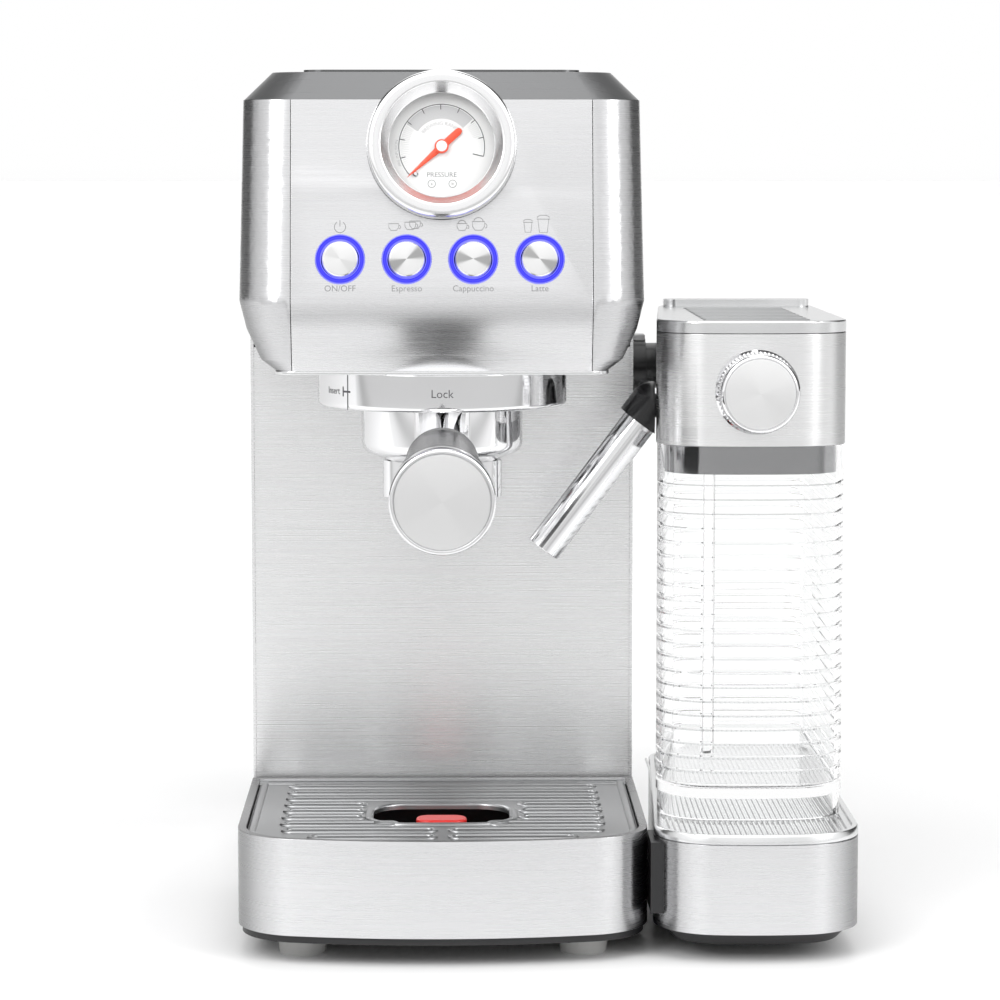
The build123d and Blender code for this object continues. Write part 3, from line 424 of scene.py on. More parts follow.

# %% [markdown]
# ## Brushed steel
#
# Sheet steel is brushed with an abrasive belt that leaves fine level scratches. Each scratch is a long thin
# cell of noise: the noise is squeezed until it is hundreds of times longer than it is high. The scratches
# change the colour and the roughness only slightly; what is seen most is that they blur highlights
# upwards and downwards, which the shader's anisotropy does. A painted shade darkens the base colour where
# the metal is seen at a slant, standing in for the dim studio that rounded edges mirror: the facing value
# drives it.

# %% Groups for scratches and painted edge shade
def build_brush_group():
    """Long thin scratches: noise(turned place * (along, along, across)), given out from 0 to 1."""
    group, entry, leave = new_group("brush_lines", [("Along", "NodeSocketFloat", 14.0),
                                                    ("Across", "NodeSocketFloat", 2600.0),
                                                    ("Turn", "NodeSocketVector", (0, 0, 0))],
                                    [("Value", "NodeSocketFloat")])
    place = group.nodes.new("ShaderNodeTexCoord")
    turned_place = group.nodes.new("ShaderNodeMapping")
    group.links.new(place.outputs["Object"], turned_place.inputs["Vector"])
    group.links.new(entry.outputs["Turn"], turned_place.inputs["Rotation"])
    squeeze = group.nodes.new("ShaderNodeCombineXYZ")
    for slot, source in zip(squeeze.inputs, ("Along", "Along", "Across")):
        group.links.new(entry.outputs[source], slot)
    scaled = group.nodes.new("ShaderNodeVectorMath")
    scaled.operation = "MULTIPLY"
    group.links.new(turned_place.outputs[0], scaled.inputs[0])
    group.links.new(squeeze.outputs[0], scaled.inputs[1])
    noise = group.nodes.new("ShaderNodeTexNoise")
    noise.inputs["Scale"].default_value = 1.0
    noise.inputs["Detail"].default_value = 3.0
    noise.inputs["Roughness"].default_value = 0.65
    group.links.new(scaled.outputs[0], noise.inputs["Vector"])
    group.links.new(noise.outputs["Fac"], leave.inputs["Value"])
    return group


def build_tint_and_edge_shade_group():
    """Two colours mixed by a factor, then given a painted edge shade by a second factor: mix(low, high,
    value) * shade.
    """
    group, entry, leave = new_group("tint_and_painted_edge_shade", [("Low", "NodeSocketColor", (0.7, 0.7, 0.7, 1)),
                                                   ("High", "NodeSocketColor", (0.8, 0.8, 0.8, 1)),
                                                   ("Value", "NodeSocketFloat", 0.5),
                                                   ("Facing", "NodeSocketFloat", 0.0),
                                                   ("Edge", "NodeSocketFloat", 0.5),
                                                   ("Falloff", "NodeSocketFloat", 2.2)],
                                    [("Color", "NodeSocketColor")])
    blend = group.nodes.new("ShaderNodeMix")
    blend.data_type = "RGBA"
    group.links.new(entry.outputs["Value"], blend.inputs["Factor"])
    group.links.new(entry.outputs["Low"], blend.inputs["A"])
    group.links.new(entry.outputs["High"], blend.inputs["B"])
    fall = calculate(group, "POWER", entry.outputs["Facing"], entry.outputs["Falloff"])
    fall = calculate(group, "MULTIPLY", fall, entry.outputs["Edge"])
    shade = calculate(group, "SUBTRACT", 1.0, fall)
    scale = group.nodes.new("ShaderNodeVectorMath")
    scale.operation = "SCALE"
    group.links.new(blend.outputs["Result"], scale.inputs[0])
    group.links.new(shade, scale.inputs["Scale"])
    group.links.new(scale.outputs[0], leave.inputs["Color"])
    return group


brush_lines = build_brush_group()
tint_and_painted_edge_shade = build_tint_and_edge_shade_group()


def tinted(tree, shader, value, color, contrast, edge, falloff=2.2):
    """Feeds the shader's base colour from the tint group, with the facing value taken in the material for the
    painted edge shade.
    """
    tint = add_group(tree, tint_and_painted_edge_shade, edge=edge, falloff=falloff)
    tint.inputs["Low"].default_value = (*(c * (1 - contrast) for c in color), 1.0)
    tint.inputs["High"].default_value = (*(min(1.0, c * (1 + contrast)) for c in color), 1.0)
    facing = tree.nodes.new("ShaderNodeLayerWeight")
    facing.inputs["Blend"].default_value = 0.5
    tree.links.new(facing.outputs["Facing"], tint.inputs["Facing"])
    if value is not None:
        tree.links.new(value, tint.inputs["Value"])
    tree.links.new(tint.outputs["Color"], shader.inputs["Base Color"])


def brushed(name, color, roughness=0.27, turn=(0, 0, 0), edge=0.5, contrast=0.05, anisotropy=0.75,
            falloff=2.2):
    """Brushed sheet metal; the scratches run level unless they are turned, and edge sets the painted shade at
    slanting edges.
    """
    material, shader = new_material(name, color, metallic=1.0, roughness=roughness)
    shader.inputs["Anisotropic"].default_value = anisotropy
    shader.inputs["Anisotropic Rotation"].default_value = 0.25
    tree = material.node_tree
    streaks = add_group(tree, brush_lines, turn=turn)
    tinted(tree, shader, streaks.outputs["Value"], color, contrast, edge, falloff)
    spread = 0.14
    rough = calculate(tree, "MULTIPLY_ADD", streaks.outputs["Value"], spread, roughness - spread / 2)
    tree.links.new(rough, shader.inputs["Roughness"])
    bump = tree.nodes.new("ShaderNodeBump")
    bump.inputs["Strength"].default_value = 0.05
    bump.inputs["Distance"].default_value = 0.0001
    tree.links.new(streaks.outputs["Value"], bump.inputs["Height"])
    tree.links.new(bump.outputs[0], shader.inputs["Normal"])
    return material


def polished(name, color, roughness=0.06, edge=0.55):
    """Plated or polished metal, with a painted shade that darkens its edges where they are seen at a slant.
    """
    material, shader = new_material(name, color, metallic=1.0, roughness=roughness)
    tinted(material.node_tree, shader, None, color, 0.0, edge)
    return material


# Each edge number sets how much painted shade a metal's slanting edges get.
steel = brushed("brushed_steel", (0.80, 0.80, 0.81), edge=0.4)
# A darker copy of the brushed steel with a broad painted edge shade, for the bent corners and bands: painted
# shade.
shaded_bent_steel = brushed("brushed_steel_bent_shaded", (0.74, 0.74, 0.75), roughness=0.28, edge=0.92, falloff=1.0)
housing_steel = brushed("brushed_steel_housing", (0.95, 0.95, 0.955), roughness=0.26, edge=0.85,
                        falloff=1.15)
# A lighter copy of the brushed steel for the splash panel and column sides: painted light.
lit_side_steel = brushed("brushed_steel_sides_lit", (0.90, 0.90, 0.905), edge=0.3)
level_brush = (np.pi / 2, 0, 0)
top_steel = brushed("brushed_steel_top", (0.20, 0.202, 0.205), roughness=0.3, turn=level_brush, edge=0.1)
grille_steel = brushed("pressed_steel", (0.42, 0.425, 0.43), roughness=0.33, turn=level_brush, edge=0.2)
plain_steel = brushed("plain_steel", (0.6, 0.6, 0.61), roughness=0.35, anisotropy=0.3)
chrome = polished("chrome", (0.93, 0.93, 0.94))
tube_steel = polished("polished_tube", (0.86, 0.86, 0.87), roughness=0.12, edge=0.8)
trim = polished("silver_trim", (0.84, 0.845, 0.85), roughness=0.22, edge=0.35)
satin = polished("satin_silver", (0.88, 0.88, 0.885), roughness=0.4, edge=0.15)
cast = polished("cast_aluminium", (0.55, 0.55, 0.57), roughness=0.45, edge=0.2)

# %% [markdown]
# ## Spun metal
#
# A turned disc carries fine circular scratches, which send light back in bright wedges that meet at the
# centre. Here the wedges are a painted sheen in the base colour, with the scratches as a fine noise on it.
# Each disc gets a UV layer of its own, with its centre at 0.5, 0.5; the painted wedges follow the angle
# around that centre and the scratches follow the distance from it.

# %% Spun discs with a painted sheen
def build_spun_group():
    """Painted sheen wedges and scratch rings: value = wedge(2 t) with t = atan2(v, u), and rings =
    noise(radius * count).
    """
    group, entry, leave = new_group("spun_scratches_and_sheen", [("Wedge Turn", "NodeSocketFloat", 0.6),
                                                  ("Sharpness", "NodeSocketFloat", 3.0),
                                                  ("Rings", "NodeSocketFloat", 90.0)],
                                    [("Sheen Wedges", "NodeSocketFloat"), ("Scratches", "NodeSocketFloat")])
    place = group.nodes.new("ShaderNodeUVMap")
    place.uv_map = "disc"
    centred = group.nodes.new("ShaderNodeVectorMath")
    centred.operation = "SUBTRACT"
    centred.inputs[1].default_value = (0.5, 0.5, 0.0)
    group.links.new(place.outputs[0], centred.inputs[0])
    parts = group.nodes.new("ShaderNodeSeparateXYZ")
    group.links.new(centred.outputs[0], parts.inputs[0])
    angle = calculate(group, "ARCTAN2", parts.outputs["Y"], parts.outputs["X"])
    twice_round = calculate(group, "MULTIPLY_ADD", angle, 2.0, entry.outputs["Wedge Turn"])
    swing = calculate(group, "COSINE", twice_round)
    lifted = calculate(group, "MULTIPLY_ADD", swing, 0.5, 0.5)
    wedges = calculate(group, "POWER", lifted, entry.outputs["Sharpness"])
    length = group.nodes.new("ShaderNodeVectorMath")
    length.operation = "LENGTH"
    group.links.new(centred.outputs[0], length.inputs[0])
    noise = group.nodes.new("ShaderNodeTexNoise")
    noise.noise_dimensions = "1D"
    noise.inputs["Scale"].default_value = 1.0
    ring_count = calculate(group, "MULTIPLY", length.outputs["Value"], entry.outputs["Rings"])
    group.links.new(ring_count, noise.inputs["W"])
    group.links.new(wedges, leave.inputs["Sheen Wedges"])
    group.links.new(noise.outputs["Fac"], leave.inputs["Scratches"])
    return group


spun_scratches_and_sheen = build_spun_group()


def spun(name, dark, light, wedge_turn=0.6, roughness=0.28):
    """Spun metal with a painted sheen: its wedges run from a dark to a light grey in the base colour."""
    material, shader = new_material(name, (light,) * 3, metallic=1.0, roughness=roughness)
    tree = material.node_tree
    disc = add_group(tree, spun_scratches_and_sheen, wedge_turn=wedge_turn)
    ringed = calculate(tree, "MULTIPLY_ADD", disc.outputs["Scratches"], 0.25, disc.outputs["Sheen Wedges"])
    color = ramp(tree, ringed, [(0.0, light), (0.45, light * 0.96), (1.0, dark)], smooth=True)
    tree.links.new(color, shader.inputs["Base Color"])
    return material


# Each cap's painted sheen: the grey of its dark wedges and how far they are turned.
cap_sheen_greys_and_turns = [(0.78, 1.2), (0.42, -0.9), (0.45, 0.2), (0.45, 1.0)]
cap_looks = [spun("spun_sheen_cap_" + str(i), dark, 0.92, turn_by)
             for i, (dark, turn_by) in enumerate(cap_sheen_greys_and_turns)]
knob_face_look = spun("spun_sheen_knob_face", 0.90, 0.96, 0.8, roughness=0.35)
grip_face_look = spun("spun_sheen_grip_face", 0.84, 0.88, 0.4, roughness=0.4)

# %% [markdown]
# ## Plastics, rubber and glass
#
# Moulded plastic takes a fine grain from its mould, which noise lifts as a shallow bump. The tanks are
# clear: light passes through them, and a little roughness keeps their ribs soft. The light rings are
# translucent plastic with a lamp behind, so they give out blue light of their own.

# %% Moulded grain
def build_grain_group():
    """Mould grain: the height of a fine noise over the piece's own coordinates."""
    group, entry, leave = new_group("mould_grain", [("Scale", "NodeSocketFloat", 900.0)],
                                    [("Height", "NodeSocketFloat")])
    place = group.nodes.new("ShaderNodeTexCoord")
    noise = group.nodes.new("ShaderNodeTexNoise")
    noise.inputs["Detail"].default_value = 2.0
    group.links.new(place.outputs["Object"], noise.inputs["Vector"])
    group.links.new(entry.outputs["Scale"], noise.inputs["Scale"])
    group.links.new(noise.outputs["Fac"], leave.inputs["Height"])
    return group


mould_grain = build_grain_group()


def moulded(name, color, roughness=0.45, grain=0.25, scale=900.0):
    """Moulded plastic or rubber with a grain."""
    material, shader = new_material(name, color, roughness=roughness)
    tree = material.node_tree
    heights = add_group(tree, mould_grain, scale=scale)
    bump = tree.nodes.new("ShaderNodeBump")
    bump.inputs["Strength"].default_value = grain
    bump.inputs["Distance"].default_value = 0.0002
    tree.links.new(heights.outputs["Height"], bump.inputs["Height"])
    tree.links.new(bump.outputs[0], shader.inputs["Normal"])
    spread = 0.12
    rough = calculate(tree, "MULTIPLY_ADD", heights.outputs["Height"], spread, roughness - spread / 2)
    tree.links.new(rough, shader.inputs["Roughness"])
    return material


def see_through(name, color, roughness, ior, grain=0.02, last_bend=3.5):
    """Clear plastic. Light that has already bent or bounced last_bend times goes straight on.

    Without that, a thick floor seen edge-on traps the light between its two faces and turns black.
    """
    material = moulded(name, color, roughness, grain, scale=60.0)
    tree = material.node_tree
    shader = tree.nodes["Principled BSDF"]
    shader.inputs["Transmission Weight"].default_value = 1.0
    shader.inputs["IOR"].default_value = ior
    path = tree.nodes.new("ShaderNodeLightPath")
    still_bending = calculate(tree, "LESS_THAN", path.outputs["Ray Depth"], last_bend)
    tree.links.new(still_bending, shader.inputs["Alpha"])
    return material


black_plastic = moulded("black_plastic", (0.011, 0.011, 0.012), 0.42)
gloss_black = moulded("gloss_black", (0.012, 0.012, 0.013), 0.24, grain=0.08)
grey_plastic = moulded("grey_plastic", (0.20, 0.20, 0.21), 0.3, grain=0.1)
clip_plastic = moulded("pale_grey_plastic", (0.62, 0.62, 0.62), 0.4, grain=0.1)
black_rubber = moulded("black_rubber", (0.02, 0.02, 0.02), 0.75, grain=0.5)
grey_rubber = moulded("grey_rubber", (0.50, 0.50, 0.49), 0.7, grain=0.4)
board_green = moulded("board_green", (0.02, 0.16, 0.06), 0.4)
dial_white = moulded("dial_white", (0.92, 0.92, 0.915), 0.4, grain=0.02)
needle_red = moulded("needle_red", (0.87, 0.10, 0.045), 0.35, grain=0.05)
float_red = moulded("float_red", (0.72, 0.03, 0.025), 0.3, grain=0.08)
dark_ink = moulded("dark_ink", (0.10, 0.10, 0.105), 0.5, grain=0.05)
grey_ink = moulded("grey_ink", (0.25, 0.25, 0.255), 0.5, grain=0.05)
faint_ink = moulded("faint_ink", (0.55, 0.55, 0.555), 0.5, grain=0.05)
clear_glass = see_through("clear_glass", (0.99, 0.99, 0.99), 0.0, 1.02)
clear_plastic = see_through("clear_plastic", (0.992, 0.995, 0.996), 0.02, 1.18)
smoke_plastic = see_through("smoke_plastic", (0.42, 0.45, 0.47), 0.05, 1.40)


def glowing_ring(name, body, edge, trough, middle):
    """Lit plastic whose glow runs across the ring: painted highlights as paler edges, a deep blue trough and
    a lighter middle.
    """
    material = moulded(name, body, 0.3, grain=0.03)
    tree = material.node_tree
    shader = tree.nodes["Principled BSDF"]
    shader.inputs["Emission Strength"].default_value = 1.0
    place = tree.nodes.new("ShaderNodeUVMap")
    place.uv_map = "disc"
    depth = tree.nodes.new("ShaderNodeSeparateXYZ")
    tree.links.new(place.outputs[0], depth.inputs[0])
    stops = [(0.0, edge), (0.25, trough), (0.5, middle), (0.75, trough), (1.0, edge)]
    tree.links.new(ramp(tree, depth.outputs["X"], stops), shader.inputs["Emission Color"])
    return material


# The paler blue at the ring's edges is a painted highlight; the deep blue is the ring's own glow.
blue_light = glowing_ring("blue_light", (0.01, 0.01, 0.30), (0.25, 0.25, 1.0), (0.02, 0.02, 0.80),
                          (0.06, 0.05, 0.95))

# %% [markdown]
# ## Dressing the CAD pieces
#
# Most pieces keep the CAD model's own mesh. Each is given the look of its material slot, with a few named
# exceptions where one slot covers two finishes.

# %% Looks by slot and by piece
slot_looks = {"steel_panel": steel, "dark_steel": top_steel, "grille_steel": grille_steel,
              "plain_steel": plain_steel, "polished_steel": tube_steel, "screw_steel": plain_steel,
              "chrome": chrome, "silver_trim": trim,
              "satin_silver": satin, "spun_aluminium": satin, "cast_aluminium": cast,
              "black_plastic": black_plastic, "grey_plastic": grey_plastic, "black_rubber": black_rubber,
              "grey_rubber": grey_rubber, "clear_glass": clear_glass, "clear_plastic": clear_plastic,
              "smoke_clear": smoke_plastic, "dial_white": dial_white, "needle_red": needle_red,
              "float_red": float_red, "board_green": board_green, "blue_light": blue_light}
piece_looks = {"splash_panel": lit_side_steel, "column_side_left": lit_side_steel, "column_side_right": lit_side_steel,
               "spout_elbow": gloss_black, "steam_port": gloss_black, "steam_spigot": gloss_black,
               "milk_head_plug": polished("plug_band", (0.40, 0.40, 0.405), roughness=0.1, edge=0.4)}
slot_of = {row["node"]: row["material_slot"] for row in frame["record"]["subparts"]}
body_of = {node: body for body, held in frame["record"]["behaviour"]["bodies"].items() for node in held}
for name, node in nodes.items():
    node.data.materials.clear()
    node.data.materials.append(piece_looks.get(name, slot_looks[slot_of[name]]))
print(len(nodes), "CAD pieces dressed with", len(set(slot_of.values())), "slots")


def stand_in(name, mesh, look, node, weighted=False):
    """A new mesh shown instead of a CAD piece, on the same body and with the given look.

    On a piece with eased edges each point's normal is weighted by the area of its faces, so the narrow
    rounded edge bends the light and the flat face beside it stays flat.
    """
    piece = link_object(name, mesh)
    mesh.materials.append(look)
    if weighted:
        keeper = piece.modifiers.new("flat_faces_stay_flat", "WEIGHTED_NORMAL")
        keeper.keep_sharp = True
    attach(piece, body_of[node])
    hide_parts(node)
    print(name, "stands for", node, "with", len(mesh.polygons), "faces")


def add_on(name, mesh, look, node):
    """A small extra, such as a print or a clip, that rides with a CAD piece."""
    piece = link_object(name, mesh)
    mesh.materials.append(look)
    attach(piece, body_of[node])


def disc_uv(mesh, centre, across, up, reach):
    """A UV layer with the disc's centre at 0.5, 0.5 and its rim at half a unit from there."""
    layer = mesh.uv_layers.new(name="disc")
    spots = np.empty(len(mesh.vertices) * 3)
    mesh.vertices.foreach_get("co", spots)
    loops = np.empty(len(mesh.loops), dtype=np.int32)
    mesh.loops.foreach_get("vertex_index", loops)
    steps = spots.reshape(-1, 3)[loops] - np.asarray(centre)
    uv = np.stack([steps @ np.asarray(across), steps @ np.asarray(up)], axis=-1) / (2 * reach) + 0.5
    layer.data.foreach_set("uv", uv.ravel())


def cad_copy(node, smooth_angle=25.0, edge=0.0):
    """A copy of a CAD piece's mesh with its split points merged, flat areas joined and edges eased."""
    work = bmesh.new()
    work.from_mesh(nodes[node].data)
    bmesh.ops.remove_doubles(work, verts=work.verts, dist=2e-6)
    bmesh.ops.dissolve_limit(work, angle_limit=np.radians(0.3), verts=work.verts, edges=work.edges)
    if edge:
        sharp = [line for line in work.edges if len(line.link_faces) == 2
                 and line.calc_face_angle(0.0) > np.radians(30) and line.calc_length() > 2 * edge]
        bmesh.ops.bevel(work, geom=sharp, offset=edge, segments=2, profile=0.5, affect="EDGES",
                        clamp_overlap=True)
    mesh = bpy.data.meshes.new(node + "_copy")
    work.to_mesh(mesh)
    work.free()
    mesh.shade_smooth()
    mesh.set_sharp_from_angle(angle=np.radians(smooth_angle))
    return mesh


# %% [markdown]
# ## Head panels
#
# The front of the head is one bent sheet between two rounded corner pieces. It keeps its round openings
# for the gauge and the buttons, so the shape is the CAD one; the cut edges are eased a little, since a
# deburred sheet edge always shows a thin line of light.

# %% Bent sheets with eased edges
def eased(name, node, look, edge):
    """A CAD piece shown with its sharp edges rounded by a width in millimetres."""
    stand_in(name, cad_copy(node, edge=edge * MM), look, node, weighted=True)


sheet_edge = 0.2
eased("front_sheet", "head_front_panel", steel, sheet_edge)
for side in ("left", "right"):
    eased("corner_sheet_" + side, "head_side_" + side, shaded_bent_steel, sheet_edge)
eased("underside_plate", "head_underside", trim, 0.3)
eased("roof_cap", "top_cover", top_steel, 0.3)
eased("tray_band", "drip_tray_front", shaded_bent_steel, 0.35)

# %% [markdown]
# ## Pressed grille
#
# The grille is one sheet, pressed and punched. Every slot has a raised, rounded lip, and so have the large
# oval opening and the sheet's own edge. A lip is the slot's outline swept through a half-round profile:
# step = outer - width / 2 + width / 2 * cos t, height = top + rise * sin t.

# %% Grille with raised lips
grille_top = box_of("drip_grille")[1][2]
slot_width = 4.0 * MM
row_pitch = 12.6 * MM
first_row_y = tray_front_y + 118.0 * MM
oval_centre = (middle_x - 0.5 * MM, tray_front_y + 60.0 * MM)
bead_sink = 0.3 * MM


def bead(outline, outer, width, rise, steps=7):
    """A half-round bead on the sheet, from step outer in to outer - width, sunk a little to join it."""
    t = np.linspace(0, np.pi, steps)
    outward = -width / 2 + width / 2 * np.cos(t)
    profile = [(outer + o, grille_top + rise * s) for o, s in zip(outward, np.sin(t))]
    profile += [(outer - width, grille_top - bead_sink), (outer, grille_top - bead_sink), profile[0]]
    return swept(outline, profile, caps=False)


grille_mesh = cad_copy("drip_grille")
sheet_work = [(np.array([v.co[:] for v in grille_mesh.vertices]),
               [list(f.vertices) for f in grille_mesh.polygons])]
grille_rows = [(-58.0, 58.0)] * 3 + [(30.5, 58.0)] * 3 + [(18.4, 58.0), (4.0, 57.0), (4.0, 47.0)]
for row, (start, end) in enumerate(grille_rows):
    row_y = first_row_y - row * row_pitch
    centre_step = (start + end) / 2 * MM
    for side in ((1,) if centre_step == 0 else (-1, 1)):
        slot_line = rounded_box((middle_x + side * centre_step, row_y), (end - start) * MM, slot_width,
                                slot_width / 2 - 0.01 * MM, steps=7)
        sheet_work.append(bead(slot_line, 2.4 * MM, 2.2 * MM, 0.75 * MM))
oval_line = rounded_box(oval_centre, 51.0 * MM, 37.0 * MM, 13.0 * MM, steps=14)
sheet_work.append(bead(oval_line, 3.0 * MM, 2.8 * MM, 1.0 * MM))
tray_line = bowed_box(tray_low[0], tray_high[0], tray_front_y, tray_high[1], 11.0 * MM, 26.0 * MM, 0.5 * MM)
sheet_work.append(bead(tray_line, -3.6 * MM, 3.0 * MM, 0.8 * MM))
grille = mesh_from("pressed_grille", sheet_work, smooth_angle=40)
stand_in("pressed_grille", grille, grille_steel, "drip_grille")
print("grille lips rise to", round(max(v.co.z for v in grille.vertices) / MM, 2), "mm")

# %% [markdown]
# ## Pressure gauge
#
# The bezel is a turned ring with a rolled outer edge and a polished cone that leads down to the dial. It
# is lathed about the panel's own outward axis from one profile of (radius, height) steps.

# %% Bezel
gauge_centre = on_panel(0.0, gauge_up)
bezel_turn = np.linspace(0, np.pi / 2, 8)
rolled = [(24.4 + 2.4 * np.cos(t), 3.6 + 2.4 * np.sin(t)) for t in bezel_turn]
bezel_rows = [(26.8, -6.0), (26.8, 0.9), (26.5, 1.1), (26.5, 1.5), (26.8, 1.7)] + rolled
bezel_rows += [(22.6, 6.0), (22.1, 5.9), (21.8, 5.6), (19.3, 1.9), (18.9, 1.6), (18.8, 0.8), (23.6, 0.8),
               (23.6, -6.0), (26.8, -6.0)]
bezel_part = turned(np.array(bezel_rows) * MM, gauge_centre, slope_out, right, sides=128)
bezel = mesh_from("bezel_ring", [bezel_part], smooth_angle=35)
bezel_look = polished("bezel_chrome", (0.95, 0.95, 0.955), roughness=0.16, edge=0.25)
stand_in("bezel_ring", bezel, bezel_look, "gauge_bezel")

# %% [markdown]
# ## Printed shapes
#
# Scales, symbols and words are thin flat prints. A ribbon is a line given a width: each of its points is
# moved half a width to either side, square to the line. Words start as text and become meshes before they
# are placed. All prints are drawn in millimetres and put on the panel's plane by one function.

# %% Tools for prints
def ribbon(line, width, closed=False):
    """A flat ribbon along a line of (across, up) points, as points and quads."""
    line = np.asarray(line, float)
    ahead_point = np.roll(line, -1, axis=0) if closed else np.vstack([line[1:], 2 * line[-1] - line[-2]])
    behind = np.roll(line, 1, axis=0) if closed else np.vstack([2 * line[0] - line[1], line[:-1]])
    tangent = ahead_point - behind
    tangent /= np.linalg.norm(tangent, axis=1, keepdims=True)
    normal = np.stack([-tangent[:, 1], tangent[:, 0]], axis=-1)
    rails = np.stack([line - normal * width / 2, line + normal * width / 2])
    count = len(line)
    j = np.arange(count if closed else count - 1)
    beside = (j + 1) % count
    return rails.reshape(-1, 2), np.stack([j, beside, count + beside, count + j], axis=-1).tolist()


def arc_line(centre, radius, start, end, steps=24):
    """Points along an arc between two angles in degrees."""
    t = np.radians(np.linspace(start, end, steps))
    return np.stack([centre[0] + radius * np.cos(t), centre[1] + radius * np.sin(t)], axis=-1)


def words(text, size, centre=(0.0, 0.0), bend_radius=None, bend_at=90.0):
    """Text as flat points and faces in millimetres, centred; or bent along an arc around the origin.

    A bent letter keeps its height as a radius and its place along the line as an angle: angle = at - x / R.
    """
    curve = bpy.data.curves.new("words", "FONT")
    curve.body = text
    curve.size = size
    curve.align_x = "CENTER"
    curve.align_y = "CENTER"
    curve.resolution_u = 4
    holder = link_object("words", curve)
    shape = bpy.data.meshes.new_from_object(holder)
    bpy.data.objects.remove(holder)
    spots = np.empty(len(shape.vertices) * 3)
    shape.vertices.foreach_get("co", spots)
    flat = spots.reshape(-1, 3)[:, :2]
    if bend_radius:
        angle = np.radians(bend_at) - flat[:, 0] / bend_radius
        reach = bend_radius + flat[:, 1]
        flat = np.stack([reach * np.cos(angle), reach * np.sin(angle)], axis=-1)
    return flat + np.asarray(centre), [list(face.vertices) for face in shape.polygons]


def print_on_panel(name, shapes, look, node, lift, shift=(0.0, 0.0)):
    """Flat shapes laid on the sloping panel's plane at a height above it."""
    parts = [(on_panel(points[:, 0] + shift[0], points[:, 1] + shift[1], lift), faces)
             for points, faces in shapes]
    add_on(name, mesh_from(name, parts, outward=False), look, node)


# %% [markdown]
# ## Dial
#
# The scale starts low on the left and ends on the right, with nine equal steps between ten ticks. The grey
# band marks the brewing range. Fine lines fill the steps before and after it. Everything is measured in
# degrees around the needle's pin.

# %% Scale, band and words
scale_radius = 15.4
scale_start = 221.8
scale_step = 26.1
dial_face = -3.2
print_lift = dial_face + 0.06
band_lift = dial_face + 0.03


def spoke(angle, outer, inner, width):
    """A ribbon along the dial's radius at one angle."""
    return ribbon([arc_line((0, 0), radius, angle, angle, 1)[0] for radius in (outer, inner)], width)


ticks = scale_start - scale_step * np.arange(10)
scale = [ribbon(arc_line((0, 0), scale_radius, scale_start, ticks[-1], 90), 0.28)]
scale += [spoke(tick, scale_radius, scale_radius - 1.9, 0.3) for tick in ticks[:-1]]
scale.append(spoke(ticks[-1], scale_radius, scale_radius - 4.0, 0.34))
print_on_panel("dial_scale", scale, dark_ink, "gauge_dial", print_lift, (0, gauge_up))
band_radii = (10.2, 15.0)
brew_band = ribbon(arc_line((0, 0), sum(band_radii) / 2, 147.0, 42.0, 60), band_radii[1] - band_radii[0])
band_look = moulded("band_grey", (0.62, 0.62, 0.625), 0.45, grain=0.02)
print_on_panel("dial_band", [brew_band], band_look, "gauge_dial", band_lift, (0, gauge_up))
fine_lines = [spoke(angle, 11.6, scale_radius - 0.6, 0.10)
              for first, final in ((212.0, 150.0), (39.0, 16.0)) for angle in np.arange(final, first, 2.9)]
print_on_panel("dial_fine_lines", fine_lines, faint_ink, "gauge_dial", band_lift, (0, gauge_up))
dial_words = [words("PRESSURE", 2.5, (0.0, -10.2))]
for letter, x in (("a", -3.6), ("b", 3.9)):
    dial_words.append(ribbon(arc_line((x, -13.4), 1.35, 0, 345, 24), 0.22, closed=True))
    dial_words.append(words(letter, 1.7, (x, -13.4)))
print_on_panel("dial_words", dial_words, grey_ink, "gauge_dial", print_lift, (0, gauge_up))
range_words = [words("BREWING RANGE", 1.9, bend_radius=8.4, bend_at=92.0),
               words("PRE-INFUSION", 1.5, bend_radius=16.3, bend_at=188.0)]
print_on_panel("dial_range_words", range_words, faint_ink, "gauge_dial", print_lift, (0, gauge_up))
pin_spot = on_panel(-9.4, gauge_up - 9.9, dial_face)
pin_rows = np.array([(0.0, 1.1), (0.6, 1.05), (0.95, 0.7), (1.0, 0.0), (0.0, -0.1)]) * MM
add_on("stop_pin", mesh_from("stop_pin", [turned(pin_rows, pin_spot, slope_out, right, sides=20)]), chrome,
       "gauge_dial")

# %% [markdown]
# ## Needle
#
# The needle is a thin red pointer with a short round tail, raised along its middle like a roof. A white
# button with a red rim covers its pin.

# %% Pointer and hub
needle_turn = np.radians(222.0)
half_widths = np.array([0.02, 0.35, 1.25, 1.3, 1.25, 0.9, 0.02])
lengths = np.array([16.8, 14.0, 1.0, -4.0, -8.2, -9.1, -9.5])
forward = np.cos(needle_turn) * right + np.sin(needle_turn) * slope_up
sideways = -np.sin(needle_turn) * right + np.cos(needle_turn) * slope_up
pointer_low = -2.45
ridge = np.array([0.0, 0.25, 0.4, 0.4, 0.4, 0.3, 0.0])
rails = [(-1, 0.0), (-0.5, 0.8), (0.5, 0.8), (1, 0.0)]
needle_base = on_panel(0.0, gauge_up, pointer_low)
needle_points = np.array([[needle_base + (forward * length + sideways * side * half
                                          + slope_out * lift * rise) * MM for side, lift in rails]
                          for length, half, rise in zip(lengths, half_widths, ridge)])
pointer = (needle_points, grid_faces(len(lengths), len(rails), wrap=True, caps=True))
hub_rows = np.array([(0.0, 1.1), (2.2, 1.1), (2.5, 0.95), (2.55, 0.0), (0.0, 0.0)]) * MM
hub_back = turned(hub_rows, needle_base, slope_out, right, sides=40)
needle_mesh = mesh_from("red_pointer", [pointer, hub_back], smooth_angle=35)
stand_in("red_pointer", needle_mesh, needle_red, "gauge_needle")
